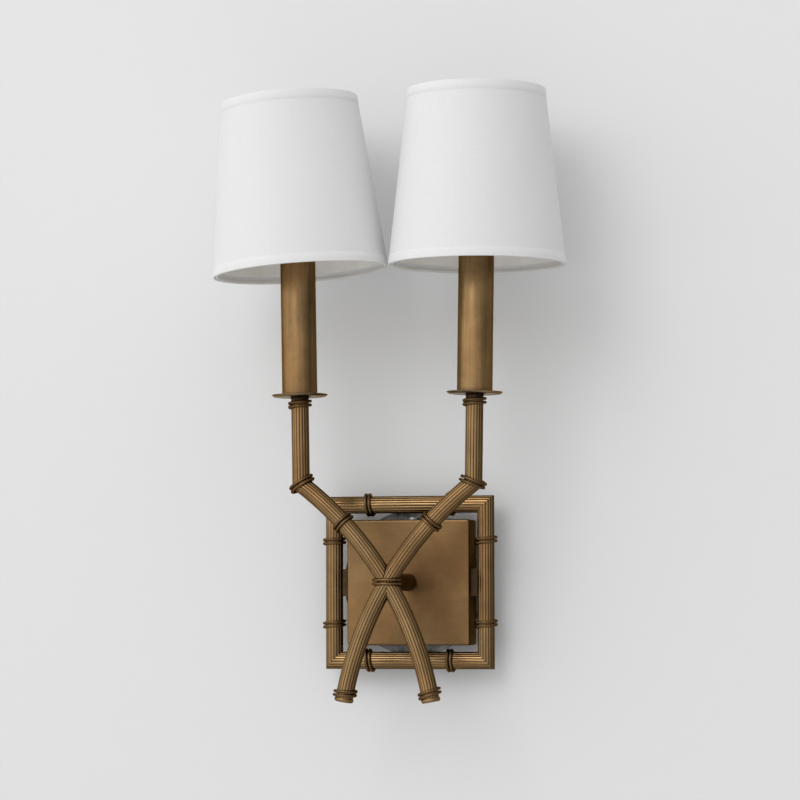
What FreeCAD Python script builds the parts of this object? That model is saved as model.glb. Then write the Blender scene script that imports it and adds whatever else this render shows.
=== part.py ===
import FreeCAD, Part
import math
import os
import Sketcher

# Double arm wall sconce. Millimetres, +Z up, wall plane at Y = 0, room towards -Y,
# origin at the middle of the backplate on the wall.

Vector = FreeCAD.Vector
Rotation = FreeCAD.Rotation
Placement = FreeCAD.Placement
UP = Vector(0, 0, 1)
ACROSS = Vector(1, 0, 0)
INTO_WALL = Vector(0, 1, 0)

SIZES = {
    # reeded brass tube, used for frame, arms and risers
    "tube_radius": 6.35,
    "tube_bore_radius": 5.25,
    "reed_depth": 0.4,
    # wall bracket
    "bracket_radius": 54,
    "bracket_thickness": 1.5,
    "bracket_hole_radius": 12,
    "screw_spacing": 88.9,
    "slot_length": 12,
    "slot_width": 5,
    "ear_width": 12,
    "ear_length": 12,
    "ear_thickness": 1.5,
    "set_screw_radius": 2,
    "set_screw_head_radius": 3.4,
    "set_screw_head_height": 2,
    "set_screw_length": 8,
    "set_screw_depth": 8.5,
    "ground_screw_radius": 2,
    "ground_screw_offset": 24,
    # backplate pan
    "plate_gap": 4.8,
    "plate_front": 25,
    "plate_wall": 1.2,
    "plate_chamfer": 1.3,
    "seat_gap": 0.3,
    # square frame of mitred tube round the pan
    "frame_size": 127,
    "tab_height": 20,
    "tab_thickness": 1.5,
    # post that carries the arms
    "arm_depth": 89,
    "post_stud_radius": 4.9,
    "post_stud_length": 9,
    "post_washer_radius": 10,
    "post_washer_thickness": 1.5,
    "post_nut_width": 15,
    "post_nut_thickness": 4,
    # crossed arms
    "arm_spacing": 127,
    "stem_radius": 250,
    "stem_cross_angle": 58.9,
    "mitre_overrun": 10,
    "foot_drop": 83,
    "foot_cap_radius": 7.5,
    "foot_cap_height": 2.6,
    "foot_cap_step": 0.8,
    # wire windings
    "wire_radius": 1.1,
    "wire_pitch": 2.75,
    "wire_clearance": 0.15,
    "winding_turns": 1.5,
    "frame_winding_offset": 30.5,
    "mid_winding_height": 42.5,
    "crossing_slack": 1.2,
    "foot_winding_drop": 78,
    # riser, drip pan and candle tube; heights above the elbow
    "riser_lean": 0.9,
    "riser_height": 59.2,
    "neck_radius": 6.8,
    "neck_height": 3.5,
    "drip_pan_radius": 20.3,
    "drip_pan_thickness": 0.9,
    "drip_pan_rise": 1.2,
    "drip_pan_lip": 0.9,
    "candle_radius": 12.7,
    "candle_wall": 0.8,
    "candle_height": 101.6,
    # socket and threaded pipe inside the candle tube
    "pipe_radius": 5,
    "pipe_bore_radius": 3.5,
    "pipe_overlap": 10,
    "lock_nut_width": 15,
    "lock_nut_thickness": 3.5,
    "socket_radius": 10.4,
    "socket_height": 34,
    "socket_top_drop": 4,
    "contact_gap": 0.2,
    "screw_shell_radius": 6.55,
    "screw_shell_wall": 0.4,
    "screw_shell_drop": 1,
    "contact_radius": 2.4,
    "contact_thickness": 0.8,
    # candle bulb; heights above the candle tube's rim
    "bulb_cap_radius": 5.9,
    "bulb_cap_length": 22,
    "bulb_tip_radius": 2.2,
    "bulb_tip_height": 1.6,
    "bulb_cap_rise": 1.5,
    "bulb_radius": 17.5,
    "bulb_belly_height": 31,
    "bulb_neck_radius": 6.6,
    "bulb_height": 75,
    "bulb_point_radius": 2.6,
    "bulb_point_height": 0.65,
    # spring clip on the bulb
    "clip_height": 7,
    "clip_thickness": 0.8,
    "clip_gap": 6,
    "clip_clearance": 0.25,
    "left_clip_rise": -1.2,
    "right_clip_rise": 1.2,
    "pin_radius": 1.2,
    "pin_length": 4.2,
    "pin_clearance": 0.15,
    # shades
    "shade_bottom_radius": 63.5,
    "shade_top_radius": 49.25,
    "shade_height": 126.2,
    "shade_drop": 11.2,
    "shade_wall": 0.9,
    "shade_ring_width": 1.6,
    "shade_ring_height": 2.4,
    "carrier_width": 4,
    "carrier_thickness": 1.3,
    "carrier_clearance": 1.2,
    "left_shade_tilt": -4,
    "right_shade_tilt": 0,
}
REED_COUNT = 16
WIRE_SIDE_COUNT = 4
SHADE_FLAT_COUNT = 40
BULB_FLAT_COUNT = 20
FITTING_FLAT_COUNT = 24
HIDDEN_FLAT_COUNT = 18
SMALL_FLAT_COUNT = 12
BEND_STEP_DEGREES = 5
CLIP_FLAT_COUNT = 8
BULB_ARC_STEP_COUNT = 4
WINDING_SPAN_COUNT = 6
SNAP = 0.01
LEFT, RIGHT = -1, 1
SIDE_NAMES = {LEFT: "left", RIGHT: "right"}

# Sizes that follow from the ones above.
DERIVED_SIZES = {
    "plate_size": "=frame_size - 4 * tube_radius - 2 * plate_gap",
}

doc = FreeCAD.newDocument("sconce")
sizes = doc.addObject("Spreadsheet::Sheet", "sizes")
SHEET = {**SIZES, **DERIVED_SIZES}
for row, (alias, content) in enumerate(SHEET.items(), start=1):
    sizes.set(f"A{row}", alias)
    sizes.set(f"B{row}", str(content))
    sizes.setAlias(f"B{row}", alias)
doc.recompute()

nodes = []


def size(text):
    """Value of a size, or of a formula of sizes, in millimetres or degrees."""
    result = sizes.evalExpression(text)
    return float(getattr(result, "Value", result))


def bound(text):
    """The same formula written for another object's expression."""
    words = []
    word = ""
    for letter in text + " ":
        if letter.isalnum() or letter == "_":
            word += letter
            continue
        words.append(f"sizes.{word}" if word in SHEET else word)
        words.append(letter)
        word = ""
    return "".join(words).strip()


def bind(item, **formulas):
    for name, text in formulas.items():
        item.setExpression(name, bound(text))


def node(item, label, placement=None):
    """Names a finished sub-part, and moves it to its place."""
    item.Label = label
    if placement is not None:
        item.Placement = placement.multiply(item.Placement)
    nodes.append(item)
    return item


# ---------------------------------------------------------------- sketches and bodies

def body_plane(body, role):
    for plane in body.Origin.OriginFeatures:
        if plane.Role == role:
            return plane
    raise ValueError(role)


def sketch_on(body, role, shift=None):
    sketch = body.newObject("Sketcher::SketchObject", body.Name + "_sketch")
    sketch.AttachmentSupport = [(body_plane(body, role), "")]
    sketch.MapMode = "FlatFace"
    if shift is not None:
        sketch.setExpression("AttachmentOffset.Base.z", bound(shift))
    return sketch


def outline(sketch, corners):
    """Closed outline of straight lines whose corners are formulas of the sizes."""
    places = [Vector(size(across), size(up), 0) for across, up in corners]
    first = sketch.GeometryCount
    count = len(places)
    for index, place in enumerate(places):
        sketch.addGeometry(Part.LineSegment(place, places[(index + 1) % count]))
    for index in range(count):
        joined = Sketcher.Constraint("Coincident", first + index, 2, first + (index + 1) % count, 1)
        sketch.addConstraint(joined)
    for index, (across, up) in enumerate(corners):
        for kind, axis, text in (("DistanceX", -2, across), ("DistanceY", -1, up)):
            if abs(size(text)) < 1e-9:
                sketch.addConstraint(Sketcher.Constraint("PointOnObject", first + index, 1, axis))
                continue
            rule = Sketcher.Constraint(kind, -1, 1, first + index, 1, size(text))
            place = sketch.addConstraint(rule)
            sketch.setExpression(f"Constraints[{place}]", bound(text))


def ring(sketch, radius, across="0", up="0"):
    """Full circle; its radius and centre are formulas of the sizes."""
    centre = Vector(size(across), size(up), 0)
    circle = sketch.addGeometry(Part.Circle(centre, UP, size(radius)))
    place = sketch.addConstraint(Sketcher.Constraint("Radius", circle, size(radius)))
    sketch.setExpression(f"Constraints[{place}]", bound(radius))
    for kind, axis, text in (("DistanceX", -2, across), ("DistanceY", -1, up)):
        if abs(size(text)) < 1e-9:
            sketch.addConstraint(Sketcher.Constraint("PointOnObject", circle, 3, axis))
            continue
        place = sketch.addConstraint(Sketcher.Constraint(kind, -1, 1, circle, 3, size(text)))
        sketch.setExpression(f"Constraints[{place}]", bound(text))


def rectangle(sketch, left, right, bottom, top):
    outline(sketch, [(left, bottom), (right, bottom), (right, top), (left, top)])


def pad(body, sketch, length, reverse=False, both_ways=False):
    feature = body.newObject("PartDesign::Pad", body.Name + "_pad")
    feature.Profile = sketch
    feature.Reversed = reverse
    feature.Midplane = both_ways
    bind(feature, Length=length)
    return feature


def pocket(body, sketch, length=None, reverse=False):
    """Cut of a given depth, or right through when no depth is given."""
    feature = body.newObject("PartDesign::Pocket", body.Name + "_pocket")
    feature.Profile = sketch
    feature.Reversed = reverse
    if length is None:
        feature.Type = "ThroughAll"
        feature.Midplane = True
    else:
        bind(feature, Length=length)
    return feature


def flat_skin(rows, closed):
    """Solid whose skin is flat strips between rows of points; open rows get end faces."""
    faces = []
    pairs = list(zip(rows, rows[1:]))
    if closed:
        pairs.append((rows[-1], rows[0]))
    for low, high in pairs:
        count = max(len(low), len(high))
        if count == 1:
            continue
        for i in range(count):
            j = (i + 1) % count
            strip = [low[i % len(low)], low[j % len(low)], high[j % len(high)], high[i % len(high)]]
            strip = [point for k, point in enumerate(strip) if not point.isEqual(strip[k - 1], 1e-9)]
            faces.append(Part.Face(Part.makePolygon(strip + strip[:1])))
    if not closed:
        faces += [Part.Face(Part.makePolygon(row + row[:1])) for row in (rows[0], rows[-1])]
    solid = Part.makeSolid(Part.makeShell(faces))
    return solid if solid.Volume > 0 else solid.reversed()


def circle_row(radius, height, flats):
    points = []
    for index in range(flats):
        angle = 2 * math.pi * (index + 0.5) / flats
        points.append(Vector(radius * math.cos(angle), radius * math.sin(angle), height))
    return points


def strip_turned(name, corners, flats):
    """Piece turned about Z in flat strips, from a (radius, height) outline of formulas.

    Used for what repeats or is hidden, to keep its faces few; the flats touch the radius."""
    rows = []
    for radius, height in corners:
        if size(radius) < 1e-9:
            rows.append([Vector(0, 0, size(height))])
        else:
            rows.append(circle_row(size(radius), size(height), flats))
    item = doc.addObject("Part::Feature", name)
    item.Shape = flat_skin(rows, closed=True)
    return item


def chamfer_edges(body, length, wanted):
    """Chamfer on the body's tip, on the edges that wanted(edge) picks."""
    doc.recompute()
    tip = body.Tip
    names = [f"Edge{i}" for i, edge in enumerate(tip.Shape.Edges, start=1) if wanted(edge)]
    if not names:
        raise ValueError("no edge to chamfer on " + body.Name)
    feature = body.newObject("PartDesign::Chamfer", body.Name + "_chamfer")
    feature.Base = (tip, names)
    bind(feature, Size=length)
    return feature


def middle(edge):
    return edge.valueAt((edge.FirstParameter + edge.LastParameter) / 2)


# ---------------------------------------------------------------- reeded tube

def reeded_row(centre, along, reference):
    """Crest and valley points of the tube's reeds, round a point of its axis."""
    side = along.cross(reference)
    points = []
    for index in range(2 * REED_COUNT):
        angle = math.pi * index / REED_COUNT
        radius = size("tube_radius") - (index % 2) * size("reed_depth")
        points.append(centre + reference * (radius * math.cos(angle)) + side * (radius * math.sin(angle)))
    return points


def reeded_face(name, centre, along, reference):
    """Cross-section of the tube: reed crests and valleys outside, a round bore inside."""
    corners = reeded_row(centre, along, reference)
    wires = [Part.makePolygon(corners + corners[:1]),
             Part.Wire([Part.Circle(centre, along, size("tube_bore_radius")).toShape()])]
    section = doc.addObject("Part::Feature", name)
    section.Shape = Part.makeFace(wires, "Part::FaceMakerBullseye")
    return section


def straight_tube(name, start, end, reference):
    """Reeded tube between two points."""
    along = (end - start).normalize()
    item = doc.addObject("Part::Extrusion", name)
    item.Base = reeded_face(name + "_section", start, along, reference)
    item.DirMode = "Custom"
    item.Dir = along
    item.LengthFwd = start.distanceToPoint(end)
    item.Solid = True
    return item


def cut(name, base, *tools):
    """Base with every tool taken away."""
    for index, tool in enumerate(tools):
        item = doc.addObject("Part::Cut", f"{name}_{index}")
        item.Base = base
        item.Tool = tool
        base = item
    return base


def join(name, *shapes):
    item = doc.addObject("Part::MultiFuse", name)
    item.Shapes = list(shapes)
    return item


# ---------------------------------------------------------------- wall bracket and backplate

def wall_bracket():
    """Round zinc plate with slots for the box screws and two ears for the set screws."""
    body = doc.addObject("PartDesign::Body", "bracket")
    plate = sketch_on(body, "XZ_Plane")
    ring(plate, "bracket_radius")
    ring(plate, "bracket_hole_radius")
    pad(body, plate, "bracket_thickness")
    slots = sketch_on(body, "XZ_Plane")
    for sign in ("-", ""):
        slot(slots, f"{sign}screw_spacing / 2", "slot_length", "slot_width")
    ring(slots, "ground_screw_radius", "0", "ground_screw_offset")
    pocket(body, slots)
    ear_top = "plate_size / 2 - plate_wall - seat_gap"
    for sign, far, near in (("", ear_top, f"{ear_top} - ear_thickness"),
                            ("-", f"-({ear_top} - ear_thickness)", f"-({ear_top})")):
        ear = sketch_on(body, "XZ_Plane")
        rectangle(ear, "-ear_width / 2", "ear_width / 2", near, far)
        pad(body, ear, "ear_length + bracket_thickness")
    holes = sketch_on(body, "XY_Plane")
    ring(holes, "set_screw_radius", "0", "-set_screw_depth")
    pocket(body, holes)
    return node(body, "wall_bracket")


def slot(sketch, across, length, width):
    """Slot with round ends, along the sketch's first axis and centred on it."""
    radius = size(width) / 2
    reach = (size(length) - size(width)) / 2
    centre = Vector(size(across), 0, 0)
    first = sketch.GeometryCount
    ends = [centre - ACROSS * reach, centre + ACROSS * reach]
    up = Vector(0, radius, 0)
    sketch.addGeometry(Part.LineSegment(ends[0] + up, ends[1] + up))
    sketch.addGeometry(Part.ArcOfCircle(Part.Circle(ends[1], UP, radius), -math.pi / 2, math.pi / 2))
    sketch.addGeometry(Part.LineSegment(ends[1] - up, ends[0] - up))
    sketch.addGeometry(Part.ArcOfCircle(Part.Circle(ends[0], UP, radius), math.pi / 2, 3 * math.pi / 2))
    top, right, bottom, left = range(first, first + 4)
    for one, one_end, other, other_end in ((top, 2, right, 2), (right, 1, bottom, 1),
                                           (bottom, 2, left, 2), (left, 1, top, 1)):
        sketch.addConstraint(Sketcher.Constraint("Tangent", one, one_end, other, other_end))
    sketch.addConstraint(Sketcher.Constraint("Horizontal", top))
    sketch.addConstraint(Sketcher.Constraint("PointOnObject", right, 3, -1))
    for text, geometry in ((f"{across} + ({length} - {width}) / 2", right),
                           (f"{across} - ({length} - {width}) / 2", left)):
        rule = Sketcher.Constraint("DistanceX", -1, 1, geometry, 3, size(text))
        sketch.setExpression(f"Constraints[{sketch.addConstraint(rule)}]", bound(text))
    place = sketch.addConstraint(Sketcher.Constraint("Radius", right, radius))
    sketch.setExpression(f"Constraints[{place}]", bound(f"{width} / 2"))


def backplate():
    """Square pan with a turned-in wall; its rim stands just off the bracket."""
    body = doc.addObject("PartDesign::Body", "pan")
    half = "plate_size / 2"
    inner = "(plate_size / 2 - plate_wall)"
    rear = "bracket_thickness + seat_gap"
    block = sketch_on(body, "XZ_Plane", rear)
    rectangle(block, f"-{half}", half, f"-{half}", half)
    pad(body, block, f"plate_front - ({rear})")
    front = -size("plate_front")

    def outer_edge(edge):
        place = middle(edge)
        reach = max(abs(place.x), abs(place.z)) > size(half) - SNAP
        corner = min(abs(place.x), abs(place.z)) > size(half) - SNAP
        return (reach and abs(place.y - front) < SNAP) or corner

    chamfer_edges(body, "plate_chamfer", outer_edge)
    hollow = sketch_on(body, "XZ_Plane", rear)
    rectangle(hollow, f"-{inner}", inner, f"-{inner}", inner)
    pocket(body, hollow, f"plate_front - ({rear}) - plate_wall", reverse=True)
    stud = sketch_on(body, "XZ_Plane")
    ring(stud, "post_stud_radius + pin_clearance")
    pocket(body, stud)
    screws = sketch_on(body, "XY_Plane")
    ring(screws, "set_screw_radius + pin_clearance", "0", "-set_screw_depth")
    pocket(body, screws)
    return node(body, "backplate")


def screw(name, length):
    """Screw along Z: head below Z = 0, shank above it."""
    shank = "set_screw_radius - pin_clearance"
    return strip_turned(name, [
        ("0", "-set_screw_head_height"), ("set_screw_head_radius", "-set_screw_head_height"),
        ("set_screw_head_radius", "0"), (shank, "0"), (shank, length), ("0", length)], SMALL_FLAT_COUNT)


def grouped(label, *items):
    """One node that holds several separate, alike solids."""
    doc.recompute()
    group = doc.addObject("Part::Compound", label)
    group.Links = list(items)
    return node(group, label)


def set_screws():
    """Two screws through the pan's top and bottom walls into the bracket's ears."""
    items = []
    for sign in (1, -1):
        item = screw(f"set_screw_{'top' if sign > 0 else 'bottom'}", "set_screw_length")
        place = Vector(0, -size("set_screw_depth"), sign * size("plate_size / 2"))
        item.Placement = Placement(place, Rotation(ACROSS, 180 if sign > 0 else 0))
        items.append(item)
    grouped("set_screws", *items)


def ground_screw():
    item = screw("ground_screw_solid", "bracket_thickness")
    place = Vector(0, -size("bracket_thickness"), size("ground_screw_offset"))
    item.Placement = Placement(place, Rotation(ACROSS, -90))
    node(item, "ground_screw")


# ---------------------------------------------------------------- square frame

def frame_rails():
    """Four mitred lengths of reeded tube; the mitre is cut by a wedge on each."""
    half = size("frame_size / 2")
    axis = half - size("tube_radius")
    depth = -(size("plate_front") - size("tube_radius"))
    rails = {}
    for name, turn in (("top", 0), ("right", 90), ("bottom", 180), ("left", 270)):
        bar = straight_tube(f"{name}_bar", Vector(-half, depth, axis), Vector(half, depth, axis), UP)
        wedge = doc.addObject("Part::Wedge", f"{name}_mitre")
        inner = "frame_size / 2 - 2 * tube_radius"
        bind(wedge, Xmin=f"-({inner})", Xmax=inner, X2min="-frame_size / 2", X2max="frame_size / 2",
             Ymin=inner, Ymax="frame_size / 2", Zmin="plate_front - 2 * tube_radius - reed_depth",
             Zmax="plate_front + reed_depth", Z2min="plate_front - 2 * tube_radius - reed_depth",
             Z2max="plate_front + reed_depth")
        wedge.Placement = Placement(Vector(0, 0, 0), Rotation(ACROSS, 90))
        rail = doc.addObject("Part::Common", f"{name}_rail")
        rail.Base = bar
        rail.Tool = wedge
        node(rail, f"frame_rail_{name}", Placement(Vector(0, 0, 0), Rotation(INTO_WALL, turn)))
        rails[name] = rail
    return rails


def frame_tabs():
    """Flat tabs that hold the frame to the pan's two sides, at mid height."""
    items = []
    for side in (LEFT, RIGHT):
        tab = doc.addObject("Part::Box", f"tab_{SIDE_NAMES[side]}")
        bind(tab, Length="plate_gap", Width="tab_thickness", Height="tab_height")
        start = size("plate_size / 2") if side > 0 else -size("frame_size / 2 - 2 * tube_radius")
        depth = -(size("plate_front") - size("tube_radius")) - size("tab_thickness") / 2
        tab.Placement = Placement(Vector(start, depth, -size("tab_height") / 2), Rotation())
        items.append(tab)
    grouped("frame_tabs", *items)


# ---------------------------------------------------------------- crossed arms

ARM_Y = -size("arm_depth")
CROSS = math.radians(size("stem_cross_angle"))
STEM_RADIUS = size("stem_radius")
# The right-hand elbow belongs to the stem that bends about this centre.
BEND_CENTRE = Vector(STEM_RADIUS * math.sin(CROSS), ARM_Y, -STEM_RADIUS * math.cos(CROSS))


def stem_angle(height):
    """Angle about the bend centre of the stem's point at a height."""
    return math.asin((height - BEND_CENTRE.z) / STEM_RADIUS)


def stem_point(angle):
    return BEND_CENTRE + Vector(-math.cos(angle), 0, math.sin(angle)) * STEM_RADIUS


def stem_direction(angle):
    """Unit vector along the stem, upwards and to the right."""
    return Vector(math.sin(angle), 0, math.cos(angle))


ELBOW_ANGLE = math.acos((BEND_CENTRE.x - size("arm_spacing") / 2) / STEM_RADIUS)
FOOT_ANGLE = stem_angle(-size("foot_drop"))
ELBOW = stem_point(ELBOW_ANGLE)
RISER_DIRECTION = Rotation(INTO_WALL, size("riser_lean")).multVec(UP)
MITRE_NORMAL = (stem_direction(ELBOW_ANGLE) + RISER_DIRECTION).normalize()
# Height of the bend over the chord of one straight step; windings stay clear by this much more.
STEP_SAG = STEM_RADIUS * (1 - math.cos(math.radians(BEND_STEP_DEGREES) / 2))


def mirrored(name, item):
    """The same piece on the other side of the middle plane."""
    copy = doc.addObject("Part::Mirroring", name)
    copy.Source = item
    copy.Base = Vector(0, 0, 0)
    copy.Normal = ACROSS
    return copy


def half_space(name, point, normal):
    """Block that fills the side of a plane that its normal points to."""
    block = doc.addObject("Part::Box", name)
    bind(block, Length="arm_spacing", Width="arm_spacing", Height="arm_spacing")
    centre = Vector(size("arm_spacing / 2"), size("arm_spacing / 2"), 0)
    turn = Rotation(UP, normal)
    block.Placement = Placement(point - turn.multVec(centre), turn)
    return block


def bend_angles(low_angle, high_angle):
    """Even steps along the bend, each near the chosen step."""
    count = math.ceil(math.degrees(high_angle - low_angle) / BEND_STEP_DEGREES)
    return [low_angle + (high_angle - low_angle) * index / count for index in range(count + 1)]


def stem(name, low_angle, high_angle):
    """Reeded tube bent on the stem's arc between two angles about the bend centre."""
    outside, bore = [], []
    for angle in bend_angles(low_angle, high_angle):
        centre, along = stem_point(angle), stem_direction(angle)
        outside.append(reeded_row(centre, along, INTO_WALL))
        turn = Placement(centre, Rotation(UP, along))
        row = circle_row(size("tube_bore_radius"), 0, SMALL_FLAT_COUNT)
        bore.append([turn.multVec(point) for point in row])
    item = doc.addObject("Part::Feature", name)
    item.Shape = flat_skin(outside, closed=False).cut(flat_skin(bore, closed=False))
    return item


def coping_bar(name):
    """Plain bar along the stem at the crossing; it copes the tubes that meet the stem."""
    radius = size("tube_radius") / math.cos(math.pi / FITTING_FLAT_COUNT)
    item = doc.addObject("Part::Feature", name)
    reach = size("4 * tube_radius") / STEM_RADIUS
    rows = []
    for angle in bend_angles(stem_angle(0) - reach, stem_angle(0) + reach):
        turn = Placement(stem_point(angle), Rotation(UP, stem_direction(angle)))
        rows.append([turn.multVec(point) for point in circle_row(radius, 0, FITTING_FLAT_COUNT)])
    item.Shape = flat_skin(rows, closed=False)
    return item


def arms():
    """One stem runs through the crossing; the other is coped onto it in two lengths."""
    past = size("mitre_overrun") / STEM_RADIUS
    above = half_space("above_right_mitre", ELBOW, MITRE_NORMAL)
    through = cut("through", stem("through_bar", FOOT_ANGLE, ELBOW_ANGLE + past), above)
    node(through, "arm_through")
    bar = coping_bar("coping_bar")
    upper_bar = cut("upper_bar", stem("upper_stem", stem_angle(0), ELBOW_ANGLE + past),
                    half_space("above_left_mitre", ELBOW, MITRE_NORMAL))
    upper = cut("upper", mirrored("upper_mirror", upper_bar), bar)
    node(upper, "arm_upper_left")
    lower = cut("lower", mirrored("lower_mirror", stem("lower_stem", FOOT_ANGLE, stem_angle(0))), bar)
    node(lower, "arm_lower_right")
    return bar


def post(bar):
    """Round post from the pan to the back of the crossing, with its stud and nut."""
    front, inside = size("plate_front"), size("plate_front - plate_wall")
    along_post = Rotation(ACROSS, 90)
    shaft = strip_turned("post_shaft", [
        ("0", "-plate_wall - post_stud_length"), ("post_stud_radius", "-plate_wall - post_stud_length"),
        ("post_stud_radius", "0"), ("tube_radius", "0"), ("tube_radius", "arm_depth - plate_front"),
        ("0", "arm_depth - plate_front")], FITTING_FLAT_COUNT)
    shaft.Placement = Placement(Vector(0, -front, 0), along_post)
    coped = cut("post_coped", shaft, bar, mirrored("coping_bar_mirror", bar))
    bore = strip_turned("post_wireway", [
        ("0", "-plate_wall - post_stud_length"), ("pipe_bore_radius", "-plate_wall - post_stud_length"),
        ("pipe_bore_radius", "arm_depth / 2"), ("0", "arm_depth / 2")], SMALL_FLAT_COUNT)
    bore.Placement = shaft.Placement
    node(cut("post_bored", coped, bore), "arm_post")
    washer = annulus("post_washer_solid", "post_washer_radius", "post_stud_radius + pin_clearance",
                     "post_washer_thickness")
    into_pan = Rotation(ACROSS, -90)
    node(washer, "post_washer", Placement(Vector(0, -inside, 0), into_pan))
    nut = hexagon_nut("post_nut_solid", "post_nut_width", "post_stud_radius + pin_clearance",
                      "post_nut_thickness")
    node(nut, "post_nut", Placement(Vector(0, size("post_washer_thickness") - inside, 0), into_pan))


def annulus(name, outer, inner, thickness):
    """Flat ring that stands on its own Z = 0."""
    return strip_turned(name, [(inner, "0"), (outer, "0"), (outer, thickness), (inner, thickness)],
                        FITTING_FLAT_COUNT)


def hexagon_nut(name, width, bore, thickness):
    prism = doc.addObject("Part::Prism", name + "_prism")
    prism.Polygon = 6
    bind(prism, Circumradius=f"{width} / 2 / cos(30)", Height=thickness)
    hole = strip_turned(name + "_hole", [("0", "0"), (bore, "0"), (bore, thickness), ("0", thickness)],
                        SMALL_FLAT_COUNT)
    return cut(name, prism, hole)


def foot_caps():
    """Chamfered discs that close the two feet under their windings."""
    caps = []
    for side in (LEFT, RIGHT):
        cap = strip_turned(f"foot_cap_{SIDE_NAMES[side]}", [
            ("0", "0"), ("foot_cap_radius", "0"), ("foot_cap_radius", "foot_cap_step - foot_cap_height"),
            ("foot_cap_radius - foot_cap_step", "-foot_cap_height"), ("0", "-foot_cap_height")],
            FITTING_FLAT_COUNT)
        place, direction = stem_point(FOOT_ANGLE), stem_direction(FOOT_ANGLE)
        if side is RIGHT:
            place, direction = flipped(place), flipped(direction)
        cap.Placement = Placement(place, Rotation(UP, direction))
        caps.append(cap)
    grouped("foot_caps", *caps)


# ---------------------------------------------------------------- candle, socket and bulb

def on_arm(side):
    """Placement of an arm's own frame: at the elbow, Z along the leaning riser."""
    place = Vector(side * ELBOW.x, ELBOW.y, ELBOW.z)
    return Placement(place, Rotation(INTO_WALL, side * size("riser_lean")))


NECK_BASE = "riser_height"
PAN_BASE = "(riser_height + neck_height)"
CANDLE_BASE = "(riser_height + neck_height + drip_pan_thickness)"
CANDLE_TOP = "(riser_height + neck_height + drip_pan_thickness + candle_height)"
SOCKET_TOP = f"({CANDLE_TOP} - socket_top_drop)"
SOCKET_BASE = f"({CANDLE_TOP} - socket_top_drop - socket_height)"
CAP_TOP = f"({CANDLE_TOP} + bulb_cap_rise)"
CAP_BASE = f"({CANDLE_TOP} + bulb_cap_rise - bulb_cap_length)"
WELL_FLOOR = f"({CAP_BASE} - bulb_tip_height - contact_gap - contact_thickness)"


def risers():
    for side in (LEFT, RIGHT):
        name = SIDE_NAMES[side]
        arm = on_arm(side)
        top = arm.multVec(Vector(0, 0, size(NECK_BASE)))
        low = arm.multVec(Vector(0, 0, -size("2 * tube_radius")))
        normal = Vector(side * MITRE_NORMAL.x, 0, MITRE_NORMAL.z)
        below = half_space(f"below_mitre_{name}", Vector(side * ELBOW.x, ELBOW.y, ELBOW.z), -normal)
        node(cut(f"riser_{name}_cut", straight_tube(f"riser_{name}_bar", low, top, INTO_WALL), below),
             f"riser_{name}")


def candle_pair(label, build):
    """The same turned piece on both arms, in one node."""
    pair = []
    for side in (LEFT, RIGHT):
        item = build(f"{SIDE_NAMES[side]}_{label}")
        item.Placement = on_arm(side).multiply(item.Placement)
        pair.append(item)
    grouped(label, *pair)


def candle_parts():
    """Neck, drip pan, candle tube, threaded pipe, lock nut and socket of both arms."""
    def turned(label, corners):
        candle_pair(label, lambda name: strip_turned(name, corners, HIDDEN_FLAT_COUNT))

    pipe_hole = "pipe_radius + pin_clearance"
    turned("necks", [(pipe_hole, NECK_BASE), ("neck_radius", NECK_BASE),
                     ("neck_radius", PAN_BASE), (pipe_hole, PAN_BASE)])
    lip = "drip_pan_radius - drip_pan_lip"
    turned("drip_pans", [
        (pipe_hole, PAN_BASE), ("drip_pan_radius", PAN_BASE),
        ("drip_pan_radius", f"{CANDLE_BASE} + drip_pan_rise"), (lip, f"{CANDLE_BASE} + drip_pan_rise"),
        (lip, CANDLE_BASE), (pipe_hole, CANDLE_BASE)])
    candle_bore = "(candle_radius - candle_wall)"
    tube = [(candle_bore, CANDLE_BASE), ("candle_radius", CANDLE_BASE),
            ("candle_radius", CANDLE_TOP), (candle_bore, CANDLE_TOP)]
    candle_pair("candle_tubes", lambda name: strip_turned(name, tube, FITTING_FLAT_COUNT))
    pipe_low = f"{NECK_BASE} - pipe_overlap"
    turned("threaded_pipes", [("pipe_bore_radius", pipe_low), ("pipe_radius", pipe_low),
                              ("pipe_radius", SOCKET_BASE), ("pipe_bore_radius", SOCKET_BASE)])
    candle_pair("lock_nuts", lock_nut)
    well = "(screw_shell_radius + pin_clearance)"
    turned("sockets", [
        ("0", SOCKET_BASE), ("socket_radius", SOCKET_BASE), ("socket_radius", SOCKET_TOP),
        (well, SOCKET_TOP), (well, WELL_FLOOR), ("0", WELL_FLOOR)])
    shell_bore = "(screw_shell_radius - screw_shell_wall)"
    shell_top = f"({SOCKET_TOP} - screw_shell_drop)"
    turned("screw_shells", [
        (shell_bore, WELL_FLOOR), ("screw_shell_radius", WELL_FLOOR),
        ("screw_shell_radius", shell_top), (shell_bore, shell_top)])
    turned("socket_contacts", [
        ("0", WELL_FLOOR), ("contact_radius", WELL_FLOOR),
        ("contact_radius", f"{WELL_FLOOR} + contact_thickness"), ("0", f"{WELL_FLOOR} + contact_thickness")])


def lock_nut(name):
    nut = hexagon_nut(name, "lock_nut_width", "pipe_radius + pin_clearance", "lock_nut_thickness")
    nut.Placement = Placement(Vector(0, 0, size(CANDLE_BASE)), Rotation())
    return nut


BELLY = f"({CANDLE_TOP} + bulb_belly_height)"


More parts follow.
